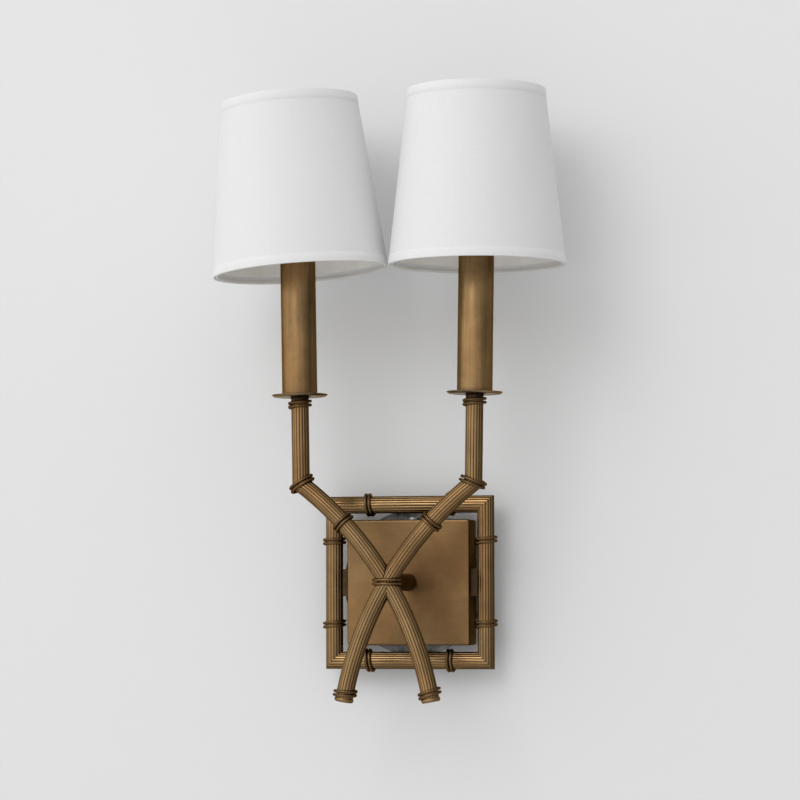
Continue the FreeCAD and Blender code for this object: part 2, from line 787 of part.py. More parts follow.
def bulb(side):
    name = SIDE_NAMES[side]
    arm = on_arm(side)
    tip = f"({CAP_BASE} - bulb_tip_height)"
    node(strip_turned(f"{name}_cap", [
        ("0", tip), ("bulb_tip_radius", tip), ("bulb_tip_radius", CAP_BASE), ("bulb_cap_radius", CAP_BASE),
        ("bulb_cap_radius", CAP_TOP), ("0", CAP_TOP)], FITTING_FLAT_COUNT), f"bulb_cap_{name}", arm)
    # Torpedo envelope: neck, belly and blunt point, from two arcs that share the belly.
    belly, top = size(BELLY), size(f"{CANDLE_TOP} + bulb_height")
    corners = [("0", CAP_TOP), ("bulb_neck_radius", CAP_TOP)]
    for low, high, end_radius, turn in ((size(CAP_TOP), belly, "bulb_neck_radius", -1),
                                        (belly, top, "bulb_point_radius", 1)):
        bulge, length = size(f"bulb_radius - {end_radius}"), high - low
        radius = (bulge * bulge + length * length) / (2 * bulge)
        for step in range(1, BULB_ARC_STEP_COUNT + 1):
            share = step / BULB_ARC_STEP_COUNT
            height = length * (1 - share if turn < 0 else share)
            drop = radius - math.sqrt(radius * radius - height * height)
            corners.append((str(size("bulb_radius") - drop), str(belly + turn * height)))
    corners.append(("0", str(top + size("bulb_point_height"))))
    node(strip_turned(f"{name}_glass", corners, BULB_FLAT_COUNT), f"bulb_glass_{name}", arm)


# ---------------------------------------------------------------- clip and shade

CLIP_BORE = "(bulb_radius + clip_clearance)"
CLIP_OUTSIDE = "(bulb_radius + clip_clearance + clip_thickness)"


def pivot_point(side):
    """Where the clip grips the bulb: near its belly, as each shade was hung."""
    return on_arm(side).multVec(Vector(0, 0, size(f"{BELLY} + {SIDE_NAMES[side]}_clip_rise")))


def clip(side):
    """Sprung strip folded round the bulb's belly, open at one side, with two pivot pins."""
    name = SIDE_NAMES[side]
    body = doc.addObject("PartDesign::Body", f"{name}_clip")
    band = sketch_on(body, "XY_Plane")
    for radius in (CLIP_OUTSIDE, CLIP_BORE):
        corners = []
        for index in range(CLIP_FLAT_COUNT):
            angle = 360 * (index + 0.5) / CLIP_FLAT_COUNT
            across_corners = f"{radius} / cos({180 / CLIP_FLAT_COUNT})"
            corners.append((f"{across_corners} * cos({angle})", f"{across_corners} * sin({angle})"))
        outline(band, corners)
    pad(body, band, "clip_height", both_ways=True)
    gap = sketch_on(body, "XY_Plane")
    rectangle(gap, "bulb_radius / 2", "2 * bulb_radius", "-clip_gap / 2", "clip_gap / 2")
    pocket(body, gap)
    pieces = [body]
    for turn in (0, 180):
        pin = doc.addObject("Part::Cylinder", f"{name}_pin_{turn}")
        bind(pin, Radius="pin_radius", Height="clip_thickness / 2 + pin_length")
        start = Rotation(UP, turn).multVec(Vector(0, -size(f"{CLIP_OUTSIDE} - clip_thickness / 2"), 0))
        pin.Placement = Placement(start, Rotation(UP, turn).multiply(Rotation(ACROSS, 90)))
        pieces.append(pin)
    place = Placement(pivot_point(side), on_arm(side).Rotation)
    node(join(f"{name}_clip_solid", *pieces), f"bulb_clip_{name}", place)


SHADE_LOW = "(-bulb_belly_height - shade_drop)"
SHADE_HIGH = "(shade_height - bulb_belly_height - shade_drop)"


def on_shade(side):
    """Placement of a shade's own frame: at the clip's pins, with its tilt."""
    return Placement(pivot_point(side), Rotation(INTO_WALL, size(f"{SIDE_NAMES[side]}_shade_tilt")))


def shade(side):
    name = SIDE_NAMES[side]
    place = on_shade(side)
    node(strip_turned(f"{name}_panel", [
        ("shade_bottom_radius - shade_wall", SHADE_LOW), ("shade_bottom_radius", SHADE_LOW),
        ("shade_top_radius", SHADE_HIGH), ("shade_top_radius - shade_wall", SHADE_HIGH)],
        SHADE_FLAT_COUNT), f"shade_{name}", place)
    slope = "(shade_bottom_radius - shade_top_radius) / shade_height"
    low_outer = f"(shade_bottom_radius - shade_wall - shade_ring_height * {slope} - seat_gap / 2)"
    node(strip_turned(f"{name}_low_ring", [
        (f"{low_outer} - shade_ring_width", SHADE_LOW), (low_outer, SHADE_LOW),
        (low_outer, f"{SHADE_LOW} + shade_ring_height"),
        (f"{low_outer} - shade_ring_width", f"{SHADE_LOW} + shade_ring_height")],
        SHADE_FLAT_COUNT), f"shade_bottom_ring_{name}", place)
    node(spider(name), f"shade_carrier_{name}", place)


def spider(name):
    """Top ring with two legs that come down to the clip's pins."""
    outer = "(shade_top_radius - shade_wall - seat_gap / 2)"
    inner = f"({outer} - shade_ring_width)"
    low = f"({SHADE_HIGH} - shade_ring_height)"
    top_ring = strip_turned(f"{name}_top_ring", [(inner, low), (outer, low), (outer, SHADE_HIGH),
                                                 (inner, SHADE_HIGH)], SHADE_FLAT_COUNT)
    eye = f"({CLIP_OUTSIDE} + carrier_clearance)"
    legs = []
    for turn in (0, 180):
        body = doc.addObject("PartDesign::Body", f"{name}_leg_{turn}")
        leg = sketch_on(body, "YZ_Plane")
        bend = "3 * carrier_thickness"
        outline(leg, [
            (f"{eye}", "-2 * pin_radius"), (f"{eye} + carrier_thickness", "-2 * pin_radius"),
            (f"{eye} + carrier_thickness", "4 * pin_radius"),
            (f"{inner} - {bend} + carrier_thickness", low),
            (f"{inner} + shade_ring_width / 2", low),
            (f"{inner} + shade_ring_width / 2", f"{low} + carrier_thickness"),
            (f"{inner} - {bend}", f"{low} + carrier_thickness"),
            (f"{eye}", "4 * pin_radius")])
        pad(body, leg, "carrier_width", both_ways=True)
        hole = sketch_on(body, "XZ_Plane")
        ring(hole, "pin_radius + pin_clearance")
        pocket(body, hole)
        body.Placement = Placement(Vector(0, 0, 0), Rotation(UP, turn))
        legs.append(body)
    return join(f"{name}_spider", top_ring, *legs)


# ---------------------------------------------------------------- wire windings

def arc_through(start, control, end):
    """Arc that leaves start towards control and reaches end from it."""
    halfway = (start + end) * 0.5
    half_chord = start.distanceToPoint(end) / 2
    to_control = control - halfway
    leg = start.distanceToPoint(control)
    if to_control.Length < 1e-7:
        return Part.LineSegment(start, end).toShape()
    half_turn = math.acos(min(1, half_chord / leg))
    crown = halfway + to_control.normalize() * (half_chord * math.tan(half_turn / 2))
    return Part.Arc(start, crown, end).toShape()


def biarc(start, start_way, end, end_way):
    """Two tangent arcs between two points with given directions."""
    span = end - start
    ways = start_way + end_way
    bend = 2 * (start_way.dot(end_way) - 1)
    reach = span.dot(ways)
    if abs(bend) < 1e-9:
        leg = span.dot(span) / (2 * reach)
    else:
        leg = (reach - math.sqrt(reach * reach - bend * span.dot(span))) / bend
    first = start + start_way * leg
    second = end - end_way * leg
    middle_point = (first + second) * 0.5
    return [arc_through(start, first, middle_point), arc_through(middle_point, second, end)]


def wire_tube(path, ways):
    """One unbroken wire through the points, on biarcs, with a four-sided section."""
    edges = []
    for index in range(len(path) - 1):
        edges += biarc(path[index], ways[index], path[index + 1], ways[index + 1])
    spine = Part.Wire(edges)
    start, way = path[0], ways[0]
    side = way.cross(UP if abs(way.z) < 0.9 else ACROSS).normalize()
    other = way.cross(side)
    radius = size("wire_radius")
    corners = []
    for index in range(WIRE_SIDE_COUNT + 1):
        angle = 2 * math.pi * (index % WIRE_SIDE_COUNT) / WIRE_SIDE_COUNT
        corners.append(start + side * (radius * math.cos(angle)) + other * (radius * math.sin(angle)))
    tube = spine.makePipeShell([Part.makePolygon(corners)], True, False)
    return tube, spine


def self_gap(spine, step_count=96):
    """Least gap between turns that are a half turn or more apart along the wire."""
    points = spine.discretize(step_count)
    apart = spine.Length * 0.5 / size("winding_turns")
    step = spine.Length / (step_count - 1)
    least = min(points[i].distanceToPoint(points[j]) for i in range(step_count)
                for j in range(i + 1, step_count) if (j - i) * step > apart)
    return least - 2 * size("wire_radius")


def winding(centre, axis, front, half_width=None):
    """Wire wound round a tube; both ends lie behind it.

    half_width widens the turns across the front, for a slanting or double tube."""
    deep = size("tube_radius + wire_clearance + wire_radius")
    wide = deep if half_width is None else half_width
    side = axis.cross(front).normalize()
    turns = size("winding_turns")
    count = WINDING_SPAN_COUNT
    start = -math.pi * (turns - 1)
    path, ways = [], []
    for index in range(count + 1):
        angle = start + 2 * math.pi * turns * index / count
        rise = size("wire_pitch") * (turns * index / count - turns / 2)
        path.append(centre + front * (deep * math.cos(angle)) + side * (wide * math.sin(angle)) + axis * rise)
        way = (front * (-deep * math.sin(angle)) + side * (wide * math.cos(angle))
               + axis * (size("wire_pitch") / (2 * math.pi)))
        ways.append(way.normalize())
    tube, spine = wire_tube(path, ways)
    return tube, self_gap(spine)


def wound_node(label, places, extra=()):
    """Windings that share one node; each place is (centre, axis, half width or None)."""
    front = Vector(0, -1, 0)
    built = [winding(centre, axis, front, wide) for centre, axis, wide in places]
    item = doc.addObject("Part::Feature", label + "_wires")
    item.Shape = Part.makeCompound([tube for tube, gap in built] + list(extra))
    node(item, label)
    print(f"{label}: {len(built)} windings, least gap between turns "
          f"{min(gap for tube, gap in built):.2f} mm")


def flipped(vector):
    return Vector(-vector.x, vector.y, vector.z)


def frame_winding_places():
    axis = size("frame_size / 2 - tube_radius")
    depth = -(size("plate_front") - size("tube_radius"))
    offset = size("frame_winding_offset")
    places = []
    for turn in (0, 90, 180, 270):
        rotation = Rotation(INTO_WALL, turn)
        for side in (LEFT, RIGHT):
            places.append((rotation.multVec(Vector(side * offset, depth, axis)),
                           rotation.multVec(ACROSS), None))
    return places


def arm_winding_places():
    """Pairs of windings at the elbows, half way down, at the feet and under the necks."""
    arm = on_arm(RIGHT)
    neck = arm.multVec(Vector(0, 0, size("riser_height - wire_pitch - wire_radius")))
    half_bend = MITRE_NORMAL.getAngle(RISER_DIRECTION)
    inward = (RISER_DIRECTION - stem_direction(ELBOW_ANGLE)).normalize()
    spread = size("(wire_pitch * winding_turns + wire_radius) / 2") * math.tan(half_bend) / 2
    round_wire = size("wire_clearance + wire_radius") + STEP_SAG
    wide = size("tube_radius") / math.cos(half_bend) + round_wire + spread
    elbow = (ELBOW + inward * spread, MITRE_NORMAL, wide)
    along = size("tube_radius") + round_wire
    half_way = stem_angle(size("mid_winding_height"))
    foot = stem_angle(-size("foot_winding_drop"))
    pairs = [
        (neck, RISER_DIRECTION, None),
        elbow,
        (stem_point(half_way), stem_direction(half_way), along),
        (stem_point(foot), stem_direction(foot), along),
    ]
    mirrors = [(flipped(centre), flipped(axis), wide) for centre, axis, wide in pairs]
    return pairs + mirrors


# How far back a hairpin's strands run beside the tube, as a share of its front.
HAIRPIN_REACH = 0.75


def crossing_winding():
    """Hairpin of wire round the crossing's waist; it turns back beside the post."""
    deep = size("tube_radius + wire_clearance + wire_radius")
    wide = STEP_SAG + size(
        "tube_radius / sin(stem_cross_angle) + 2 * wire_clearance + wire_radius + crossing_slack")
    half_pitch = size("wire_pitch / 2")
    centre = Vector(0, ARM_Y, 0)

    def strand(height, order):
        points = [centre + Vector(-wide, deep * HAIRPIN_REACH, height), centre + Vector(-wide, 0, height),
                  centre + Vector(0, -deep, height), centre + Vector(wide, 0, height),
                  centre + Vector(wide, deep * HAIRPIN_REACH, height)]
        directions = [Vector(0, -1, 0), Vector(0, -1, 0), Vector(1, 0, 0), Vector(0, 1, 0), Vector(0, 1, 0)]
        if order < 0:
            points.reverse()
            directions = [direction * -1 for direction in reversed(directions)]
        return points, directions

    first, first_ways = strand(half_pitch, 1)
    second, second_ways = strand(-half_pitch, -1)
    tube, spine = wire_tube(first + second, first_ways + second_ways)
    return tube


# ---------------------------------------------------------------- build, check, write

def main():
    wall_bracket()
    ground_screw()
    backplate()
    set_screws()
    frame_rails()
    frame_tabs()
    post(arms())
    foot_caps()
    risers()
    candle_parts()
    for side in (LEFT, RIGHT):
        bulb(side)
        clip(side)
        shade(side)
    wound_node("wire_windings", frame_winding_places() + arm_winding_places(), [crossing_winding()])
    doc.recompute()
    write_nodes()


def write_nodes():
    for item in doc.Objects:
        if "Invalid" in item.State or "Error" in item.State:
            raise RuntimeError(f"{item.Name} failed: {item.State}")
    os.makedirs("parts", exist_ok=True)
    for item in nodes:
        shape = item.Shape
        if shape.isNull() or not shape.isValid() or not shape.Solids:
            raise RuntimeError(f"{item.Label} has no valid solid")
        shape.exportStep(f"parts/{item.Label}.step")
    print(f"{len(nodes)} nodes written")


main()
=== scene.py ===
import math

import bmesh
import bpy
import numpy as np
from mathutils import Matrix, Vector


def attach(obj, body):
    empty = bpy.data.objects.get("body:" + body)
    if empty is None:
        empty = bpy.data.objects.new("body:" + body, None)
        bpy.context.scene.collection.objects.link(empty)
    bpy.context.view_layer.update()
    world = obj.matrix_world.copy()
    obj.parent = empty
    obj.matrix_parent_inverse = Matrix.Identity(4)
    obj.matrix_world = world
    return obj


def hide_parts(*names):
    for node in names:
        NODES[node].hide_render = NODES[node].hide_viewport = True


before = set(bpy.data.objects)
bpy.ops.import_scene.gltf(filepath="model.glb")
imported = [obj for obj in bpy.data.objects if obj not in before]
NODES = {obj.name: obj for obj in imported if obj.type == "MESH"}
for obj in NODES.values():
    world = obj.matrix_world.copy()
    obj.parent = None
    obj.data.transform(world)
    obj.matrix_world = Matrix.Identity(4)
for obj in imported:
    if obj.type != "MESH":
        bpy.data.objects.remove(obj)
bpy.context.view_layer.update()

MM = 0.001
TAU = 2 * math.pi
LEFT, RIGHT = -1, 1
SIDE_NAMES = {LEFT: "left", RIGHT: "right"}
UP, FRONT, ACROSS = Vector((0, 0, 1)), Vector((0, -1, 0)), Vector((1, 0, 0))

# ---- camera

CAMERA_AZIMUTH, CAMERA_ELEVATION, CAMERA_DISTANCE = math.radians(13.58), math.radians(-3.6), 2.4
CAMERA_AIM = Vector((-0.01169, 0, 0.13568))
CAMERA_LENS, CAMERA_SENSOR = 145.12, 36
CAMERA_ROLL = math.radians(-0.12)

camera = bpy.data.objects.new("camera", bpy.data.cameras.new("camera"))
bpy.context.scene.collection.objects.link(camera)
bpy.context.scene.camera = camera
back = Vector((math.sin(CAMERA_AZIMUTH) * math.cos(CAMERA_ELEVATION),
               -math.cos(CAMERA_AZIMUTH) * math.cos(CAMERA_ELEVATION), math.sin(CAMERA_ELEVATION)))
camera.rotation_mode = "QUATERNION"
camera.location = CAMERA_AIM + back * CAMERA_DISTANCE
roll = Matrix.Rotation(CAMERA_ROLL, 3, "Z").to_quaternion()
camera.rotation_quaternion = (-back).to_track_quat("-Z", "Y") @ roll
camera.data.lens = CAMERA_LENS
camera.data.sensor_width = CAMERA_SENSOR
camera.data.clip_start, camera.data.clip_end = 0.05, 50
bpy.context.scene.view_settings.view_transform = "Standard"

# ---- sizes of the real object, in millimetres

TUBE_RADIUS = 6.35
REED_COUNT, REED_CROWN, REED_SHOULDER, REED_DEPTH = 16, 0.18, 0.07, 0.42
FRAME_SIZE, ARM_SPACING = 127, 127
PLATE_SIZE, PLATE_FRONT, PLATE_REAR, PLATE_WALL = 92, 25, 1.8, 1.2
PLATE_BEVEL, PLATE_CORNER, PLATE_EDGE, PLATE_SHARP = 1.4, 1.8, 0.15, 0.3
ARM_Y = -89
STEM_RADIUS, CROSS = 250, math.radians(58.9)
BEND_CENTRE = Vector((STEM_RADIUS * math.sin(CROSS), ARM_Y, -STEM_RADIUS * math.cos(CROSS)))
CROSS_ANGLE = math.asin(-BEND_CENTRE.z / STEM_RADIUS)
ELBOW_ANGLE = math.acos((BEND_CENTRE.x - ARM_SPACING / 2) / STEM_RADIUS)
FOOT_DROP = 83
LEAN = math.radians(0.9)
RISER_HEIGHT, NECK_HEIGHT, NECK_RADIUS, NECK_WAIST, PIPE_BORE = 59.2, 3.5, 6.8, 6.3, 5.15
DRIP_PAN_RADIUS, DRIP_PAN_THICKNESS = 20.3, 0.9
CANDLE_RADIUS, CANDLE_WALL, CANDLE_HEIGHT = 12.7, 0.8, 101.6
PAN_BASE = RISER_HEIGHT + NECK_HEIGHT
CANDLE_BASE = PAN_BASE + DRIP_PAN_THICKNESS
CANDLE_TOP = CANDLE_BASE + CANDLE_HEIGHT
BELLY = CANDLE_TOP + 31
BULB_RADIUS, BULB_FOOT, BULB_TIP, BULB_TOP = 17.5, 6.6, 2.6, CANDLE_TOP + 75
CAP_TOP, CAP_BASE, CAP_RADIUS = CANDLE_TOP + 1.5, CANDLE_TOP - 20.5, 5.9
SOCKET_RADIUS, SOCKET_BORE, SOCKET_MOUTH = 10.4, 6.7, 8.6
SOCKET_BASE, SOCKET_TOP, SOCKET_FLOOR = CANDLE_TOP - 38, CANDLE_TOP - 4, CAP_BASE - 2.6
WIRE_RADIUS, WIRE_PITCH, WIRE_CLEARANCE, WIRE_TURNS = 1.1, 2.75, 0.15, 1.94
WIRE_SIDES, WIRE_STEPS = 12, 44
# a wire's end, as (distance, radius) in shares of the wire's radius
WIRE_DOME = ((0, 1), (0.5, 0.8), (0.8, 0.35))
SHADE_LOW, SHADE_HIGH = -42.2, 84.0
SHADE_BOTTOM_RADIUS, SHADE_TOP_RADIUS, SHADE_WALL = 63.5, 49.25, 0.9
SHADE_TILTS = {LEFT: math.radians(-4), RIGHT: 0}
CLIP_RISE = 1.2
ROUND_WIRE = WIRE_CLEARANCE + WIRE_RADIUS
ROUND_TUBE = TUBE_RADIUS + WIRE_CLEARANCE + WIRE_RADIUS


def stem_point(angle):
    """Point on the arc of the right arm, the one that runs through the crossing."""
    return BEND_CENTRE + Vector((-math.cos(angle), 0, math.sin(angle))) * STEM_RADIUS


def stem_direction(angle):
    return Vector((math.sin(angle), 0, math.cos(angle)))


def stem_angle(height):
    return math.asin((height - BEND_CENTRE.z) / STEM_RADIUS)


FOOT_ANGLE = stem_angle(-FOOT_DROP)
ELBOW = stem_point(ELBOW_ANGLE)
RISER_DIRECTION = Vector((math.sin(LEAN), 0, math.cos(LEAN)))
MITRE_NORMAL = (stem_direction(ELBOW_ANGLE) + RISER_DIRECTION).normalized()


def flipped(vector):
    return Vector((-vector.x, vector.y, vector.z))


def along_axis(place, axis):
    """Matrix, in millimetres, that puts an own frame's Z along axis at place."""
    return Matrix.Translation(place) @ UP.rotation_difference(axis).to_matrix().to_4x4()


def on_arm(side):
    """Matrix of a riser, with the elbow as its origin and Z up the riser."""
    place = Vector((side * ELBOW.x, ELBOW.y, ELBOW.z))
    return Matrix.Translation(place) @ Matrix.Rotation(side * LEAN, 4, "Y")


def on_clip(side):
    """Matrix of a spring clip, with its origin in the middle of the bulb's belly."""
    return on_arm(side) @ Matrix.Translation((0, 0, BELLY + side * CLIP_RISE))


def on_shade(side):
    """Matrix of a shade as it hangs on the clip's pins; it doesn't lean with the riser."""
    return Matrix.Translation(on_clip(side).translation) @ Matrix.Rotation(SHADE_TILTS[side], 4, "Y")


# ---- mesh helpers

ON_AXIS = 1e-6


def piece(name, body, slot, material, vertices, faces, uvs=None, groove=None, matrix=None, replaces=(), sharp=40,
          materials=(), face_materials=None):
    """Mesh piece from points in millimetres; uvs are per vertex and in millimetres too."""
    data = bpy.data.meshes.new(name)
    points = [matrix @ Vector(v) for v in vertices] if matrix is not None else [Vector(v) for v in vertices]
    data.from_pydata([tuple(p * MM) for p in points], [], faces)
    if uvs is not None:
        layer = data.uv_layers.new(name="UVMap")
        corners = np.zeros(len(data.loops), np.int32)
        data.loops.foreach_get("vertex_index", corners)
        layer.data.foreach_set("uv", (np.array(uvs, float)[corners] * MM).astype(np.float32).ravel())
    if groove is not None:
        data.attributes.new("groove", "FLOAT", "POINT").data.foreach_set("value", np.array(groove, np.float32))
    data.materials.append(material)
    for extra in materials:
        data.materials.append(extra)
    if face_materials is not None:
        data.polygons.foreach_set("material_index", np.array(face_materials, np.int32))
    data.validate()
    # every face is turned outwards
    shell = bmesh.new()
    shell.from_mesh(data)
    bmesh.ops.recalc_face_normals(shell, faces=shell.faces)
    shell.to_mesh(data)
    shell.free()
    obj = bpy.data.objects.new(name, data)
    bpy.context.scene.collection.objects.link(obj)
    data.polygons.foreach_set("use_smooth", [True] * len(data.polygons))
    data.set_sharp_from_angle(angle=math.radians(sharp))
    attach(obj, body)
    if replaces:
        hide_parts(*replaces)
    return obj


def loft(rows, closed_columns=False):
    """Quads between closed rows of equal length; closed_columns joins the last row to the first."""
    count = len(rows[0])
    faces = []
    last = len(rows) if closed_columns else len(rows) - 1
    for row in range(last):
        low, high = row * count, (row + 1) % len(rows) * count
        for index in range(count):
            after = (index + 1) % count
            faces.append((low + index, low + after, high + after, high + index))
    return faces


def capped(rows):
    """Loft with a flat face at each end."""
    count, last = len(rows[0]), (len(rows) - 1) * len(rows[0])
    return loft(rows) + [tuple(reversed(range(count))), tuple(range(last, last + count))]


def lathe(name, body, slot, material, profile, matrix, segments=64, closed=True, **options):
    """Turned piece: profile of (radius, height); closed joins its last point to its first."""
    vertices, uvs, faces, starts = [], [], [], []
    run = 0
    for index, (radius, height) in enumerate(profile):
        if index:
            run += math.dist(profile[index - 1], profile[index])
        starts.append(len(vertices))
        if radius < ON_AXIS:
            vertices.append((0, 0, height))
            uvs.append((0, run))
        else:
            for step in range(segments):
                turn = TAU * step / segments
                vertices.append((radius * math.cos(turn), radius * math.sin(turn), height))
                uvs.append((radius * turn, height or run))
    for index in range(len(profile) if closed else len(profile) - 1):
        follower = (index + 1) % len(profile)
        one = profile[index][0] >= ON_AXIS
        other = profile[follower][0] >= ON_AXIS
        for step in range(segments):
            after = (step + 1) % segments
            low = [starts[index] + step, starts[index] + after] if one else [starts[index]]
            high = [starts[follower] + after, starts[follower] + step] if other else [starts[follower]]
            if len(low) + len(high) > 2:
                faces.append(tuple(low + high))
    return piece(name, body, slot, material, vertices, faces, uvs, matrix=matrix, **options)


def rounded(profile, radius):
    """The same outline with its corners rounded; points on the axis stay there."""
    result = []
    count, steps = len(profile), 3
    for index in range(count):
        here = Vector(profile[index])
        before, after = Vector(profile[index - 1]), Vector(profile[(index + 1) % count])
        if min(here.x, (before - here).length, (after - here).length) < ON_AXIS:
            result.append(tuple(here))
            continue
        one, other = before - here, after - here
        reach = min(radius, one.length * 0.45, other.length * 0.45)
        start, end = here + one.normalized() * reach, here + other.normalized() * reach
        for step in range(steps + 1):
            share = step / steps
            bent = start * (1 - share) ** 2 + here * (2 * share * (1 - share)) + end * share ** 2
            result.append(tuple(bent))
    return result


REED_STEPS = (-0.5, -0.4, -0.3, -0.15, 0.0, 0.15, 0.3, 0.4)
END_DARK, END_RIM = 0.8, 0.35


def reed_section():
    """(angle, radius, groove share) round the tube: crowned reeds between narrow grooves."""
    points = []
    for reed in range(REED_COUNT):
        for share in REED_STEPS:
            depth, dark = REED_CROWN * (2 * share) ** 2, 0.0
            if share == REED_STEPS[0]:
                depth, dark = REED_DEPTH, 1.0
            elif abs(share) == REED_STEPS[-1]:
                depth, dark = depth + REED_SHOULDER, 0.5
            points.append((TAU * (reed + share) / REED_COUNT, TUBE_RADIUS - depth, dark))
    return points


REEDS = reed_section()


def tube_piece(name, rows, lengths, end_points, replaces):
    """Reeded tube from rows of section points, darkened at its cut ends; end_points close its two ends."""
    count = len(rows[0])
    vertices = [point for row in rows for point in row]
    uvs = [(angle * TUBE_RADIUS, length) for length in lengths for angle, radius, dark in REEDS]
    groove = []
    for index in range(len(rows)):
        least = END_DARK if index in (0, len(rows) - 1) else 0
        groove += [max(dark, least) for angle, radius, dark in REEDS]
    faces = loft(rows)
    for end, start in zip(end_points, (0, (len(rows) - 1) * count)):
        middle = len(vertices)
        vertices.append(end)
        uvs.append((0, 0))
        groove.append(1.0)
        faces += [(start + index, start + (index + 1) % count, middle) for index in range(count)]
    return piece(name, "sconce", "antique_brass", MATERIALS["tube"], vertices, faces, uvs, groove=groove,
                 replaces=replaces, sharp=30)


def straight_tube(name, start, end, reference, replaces, low_cut=None, high_cut=None):
    """Straight reeded tube; each cut is a (point, normal) plane that its end lies in."""
    along = (end - start).normalized()
    side = along.cross(reference)
    low_row, high_row = [], []
    for angle, radius, dark in REEDS:
        offset = reference * (radius * math.cos(angle)) + side * (radius * math.sin(angle))
        for row, place, plane in ((low_row, start, low_cut), (high_row, end, high_cut)):
            point = place + offset
            if plane is not None:
                point = point + along * ((plane[0] - point).dot(plane[1]) / along.dot(plane[1]))
            row.append(point)
    rim = END_RIM / (end - start).length
    shares = (0, rim, 0.25, 0.5, 0.75, 1 - rim, 1)
    rows = [[low.lerp(high, share) for low, high in zip(low_row, high_row)] for share in shares]
    lengths = [(end - start).length * share for share in shares]
    return tube_piece(name, rows, lengths, (start, end), replaces)


def solve(test, low, high):
    """Point between low and high where test turns from negative to positive."""
    if test(low) >= 0:
        return low
    for step in range(40):
        middle = (low + high) / 2
        if test(middle) < 0:
            low = middle
        else:
            high = middle
    return high


def bent_tube(name, side, low_end, high_end, replaces, steps):
    """Reeded tube on the stem's arc; low_end and high_end give each line's end angle."""
    rim = 0.003
    shares = [0, rim, *(step / steps for step in range(1, steps)), 1 - rim, 1]
    rows = [[] for share in shares]
    for angle, radius, dark in REEDS:
        out, deep = radius * math.sin(angle), radius * math.cos(angle)

        def point(bend):
            ray = Vector((-math.cos(bend), 0, math.sin(bend)))
            return BEND_CENTRE + ray * (STEM_RADIUS + out) + FRONT * deep

        low, high = low_end(point), high_end(point)
        for step, share in enumerate(shares):
            place = point(low + (high - low) * share)
            rows[step].append(flipped(place) if side < 0 else place)
    start, end = low_end(stem_point), high_end(stem_point)
    lengths = [STEM_RADIUS * (end - start) * share for share in shares]
    ends = [stem_point(start), stem_point(end)]
    if side < 0:
        rows.reverse()
        ends = [flipped(ends[1]), flipped(ends[0])]
    return tube_piece(name, rows, lengths, ends, replaces)


# the gap at a cope shows as the dark line of its joint
COPE_RADIUS = TUBE_RADIUS + 0.7
MITRE_REACH, COPE_REACH = 0.2, 0.12


def to_foot(point):
    return FOOT_ANGLE


def to_mitre(point):
    return solve(lambda bend: (point(bend) - ELBOW).dot(MITRE_NORMAL), ELBOW_ANGLE - MITRE_REACH,
                 ELBOW_ANGLE + MITRE_REACH)


def off_crossing(place):
    """How far a point lies outside the other stem, which is the mirror image."""
    other = flipped(BEND_CENTRE)
    in_plane = math.hypot(place.x - other.x, place.z - other.z) - STEM_RADIUS
    return math.hypot(in_plane, place.y - ARM_Y) - COPE_RADIUS


def to_cope_above(point):
    return solve(lambda bend: off_crossing(point(bend)), CROSS_ANGLE, CROSS_ANGLE + COPE_REACH)


def to_cope_below(point):
    return -solve(lambda bend: off_crossing(point(-bend)), -CROSS_ANGLE, -CROSS_ANGLE + COPE_REACH)


def wire(name, places):
    """Round wire along a smooth line of places, with domed ends."""
    ways = []
    for index in range(len(places)):
        ahead = places[min(index + 1, len(places) - 1)] - places[max(index - 1, 0)]
        ways.append(ahead.normalized())
    side = ways[0].orthogonal().normalized()
    rows, lengths, run = [], [], 0
    for index, (place, way) in enumerate(zip(places, ways)):
        side = (side - way * side.dot(way)).normalized()
        other = way.cross(side)
        if index:
            run += (place - places[index - 1]).length
        stations = [(0, 1)]
        if index == 0:
            stations = [(-shift, scale) for shift, scale in reversed(WIRE_DOME)]
        elif index == len(places) - 1:
            stations = WIRE_DOME
        for shift, scale in stations:
            centre = place + way * (shift * WIRE_RADIUS)
            row = []
            for step in range(WIRE_SIDES):
                turn = TAU * step / WIRE_SIDES
                row.append(centre + (side * math.cos(turn) + other * math.sin(turn)) * (WIRE_RADIUS * scale))
            rows.append(row)
            lengths.append(run)
    vertices = [point for row in rows for point in row]
    uvs = [(WIRE_RADIUS * TAU * step / WIRE_SIDES, length) for length in lengths for step in range(WIRE_SIDES)]
    return piece(name, "sconce", "dark_wire", MATERIALS["dark_wire"], vertices, capped(rows), uvs,
                 replaces=["wire_windings"], sharp=60)


def wound(name, centre, axis, wide, lean):
    """Wire wound round a tube, with both of its ends behind; lean slants its turns a little, as by hand."""
    side = axis.cross(FRONT).normalized()
    start = -math.pi * (WIRE_TURNS - 1)
    count = int(WIRE_STEPS * WIRE_TURNS)
    points = []
    for index in range(count + 1):
        share = index / count
        turn = start + TAU * WIRE_TURNS * share
        rise = WIRE_PITCH * WIRE_TURNS * (share - 0.5) + lean * math.sin(turn)
        points.append(centre + FRONT * (ROUND_TUBE * math.cos(turn)) + side * (wide * math.sin(turn)) + axis * rise)
    return wire(name, points)


# ---- materials

# a surface's lean runs from -1, towards the room, to 1 at the back; the brass stays bright up to this one and darkens
# beyond it: painted shade on the flanks and back, partly standing for antique finish not rubbed bright there
SHADE_AND_UNRUBBED_START = -0.985
# in metres
YARN_SPACING = 0.00062


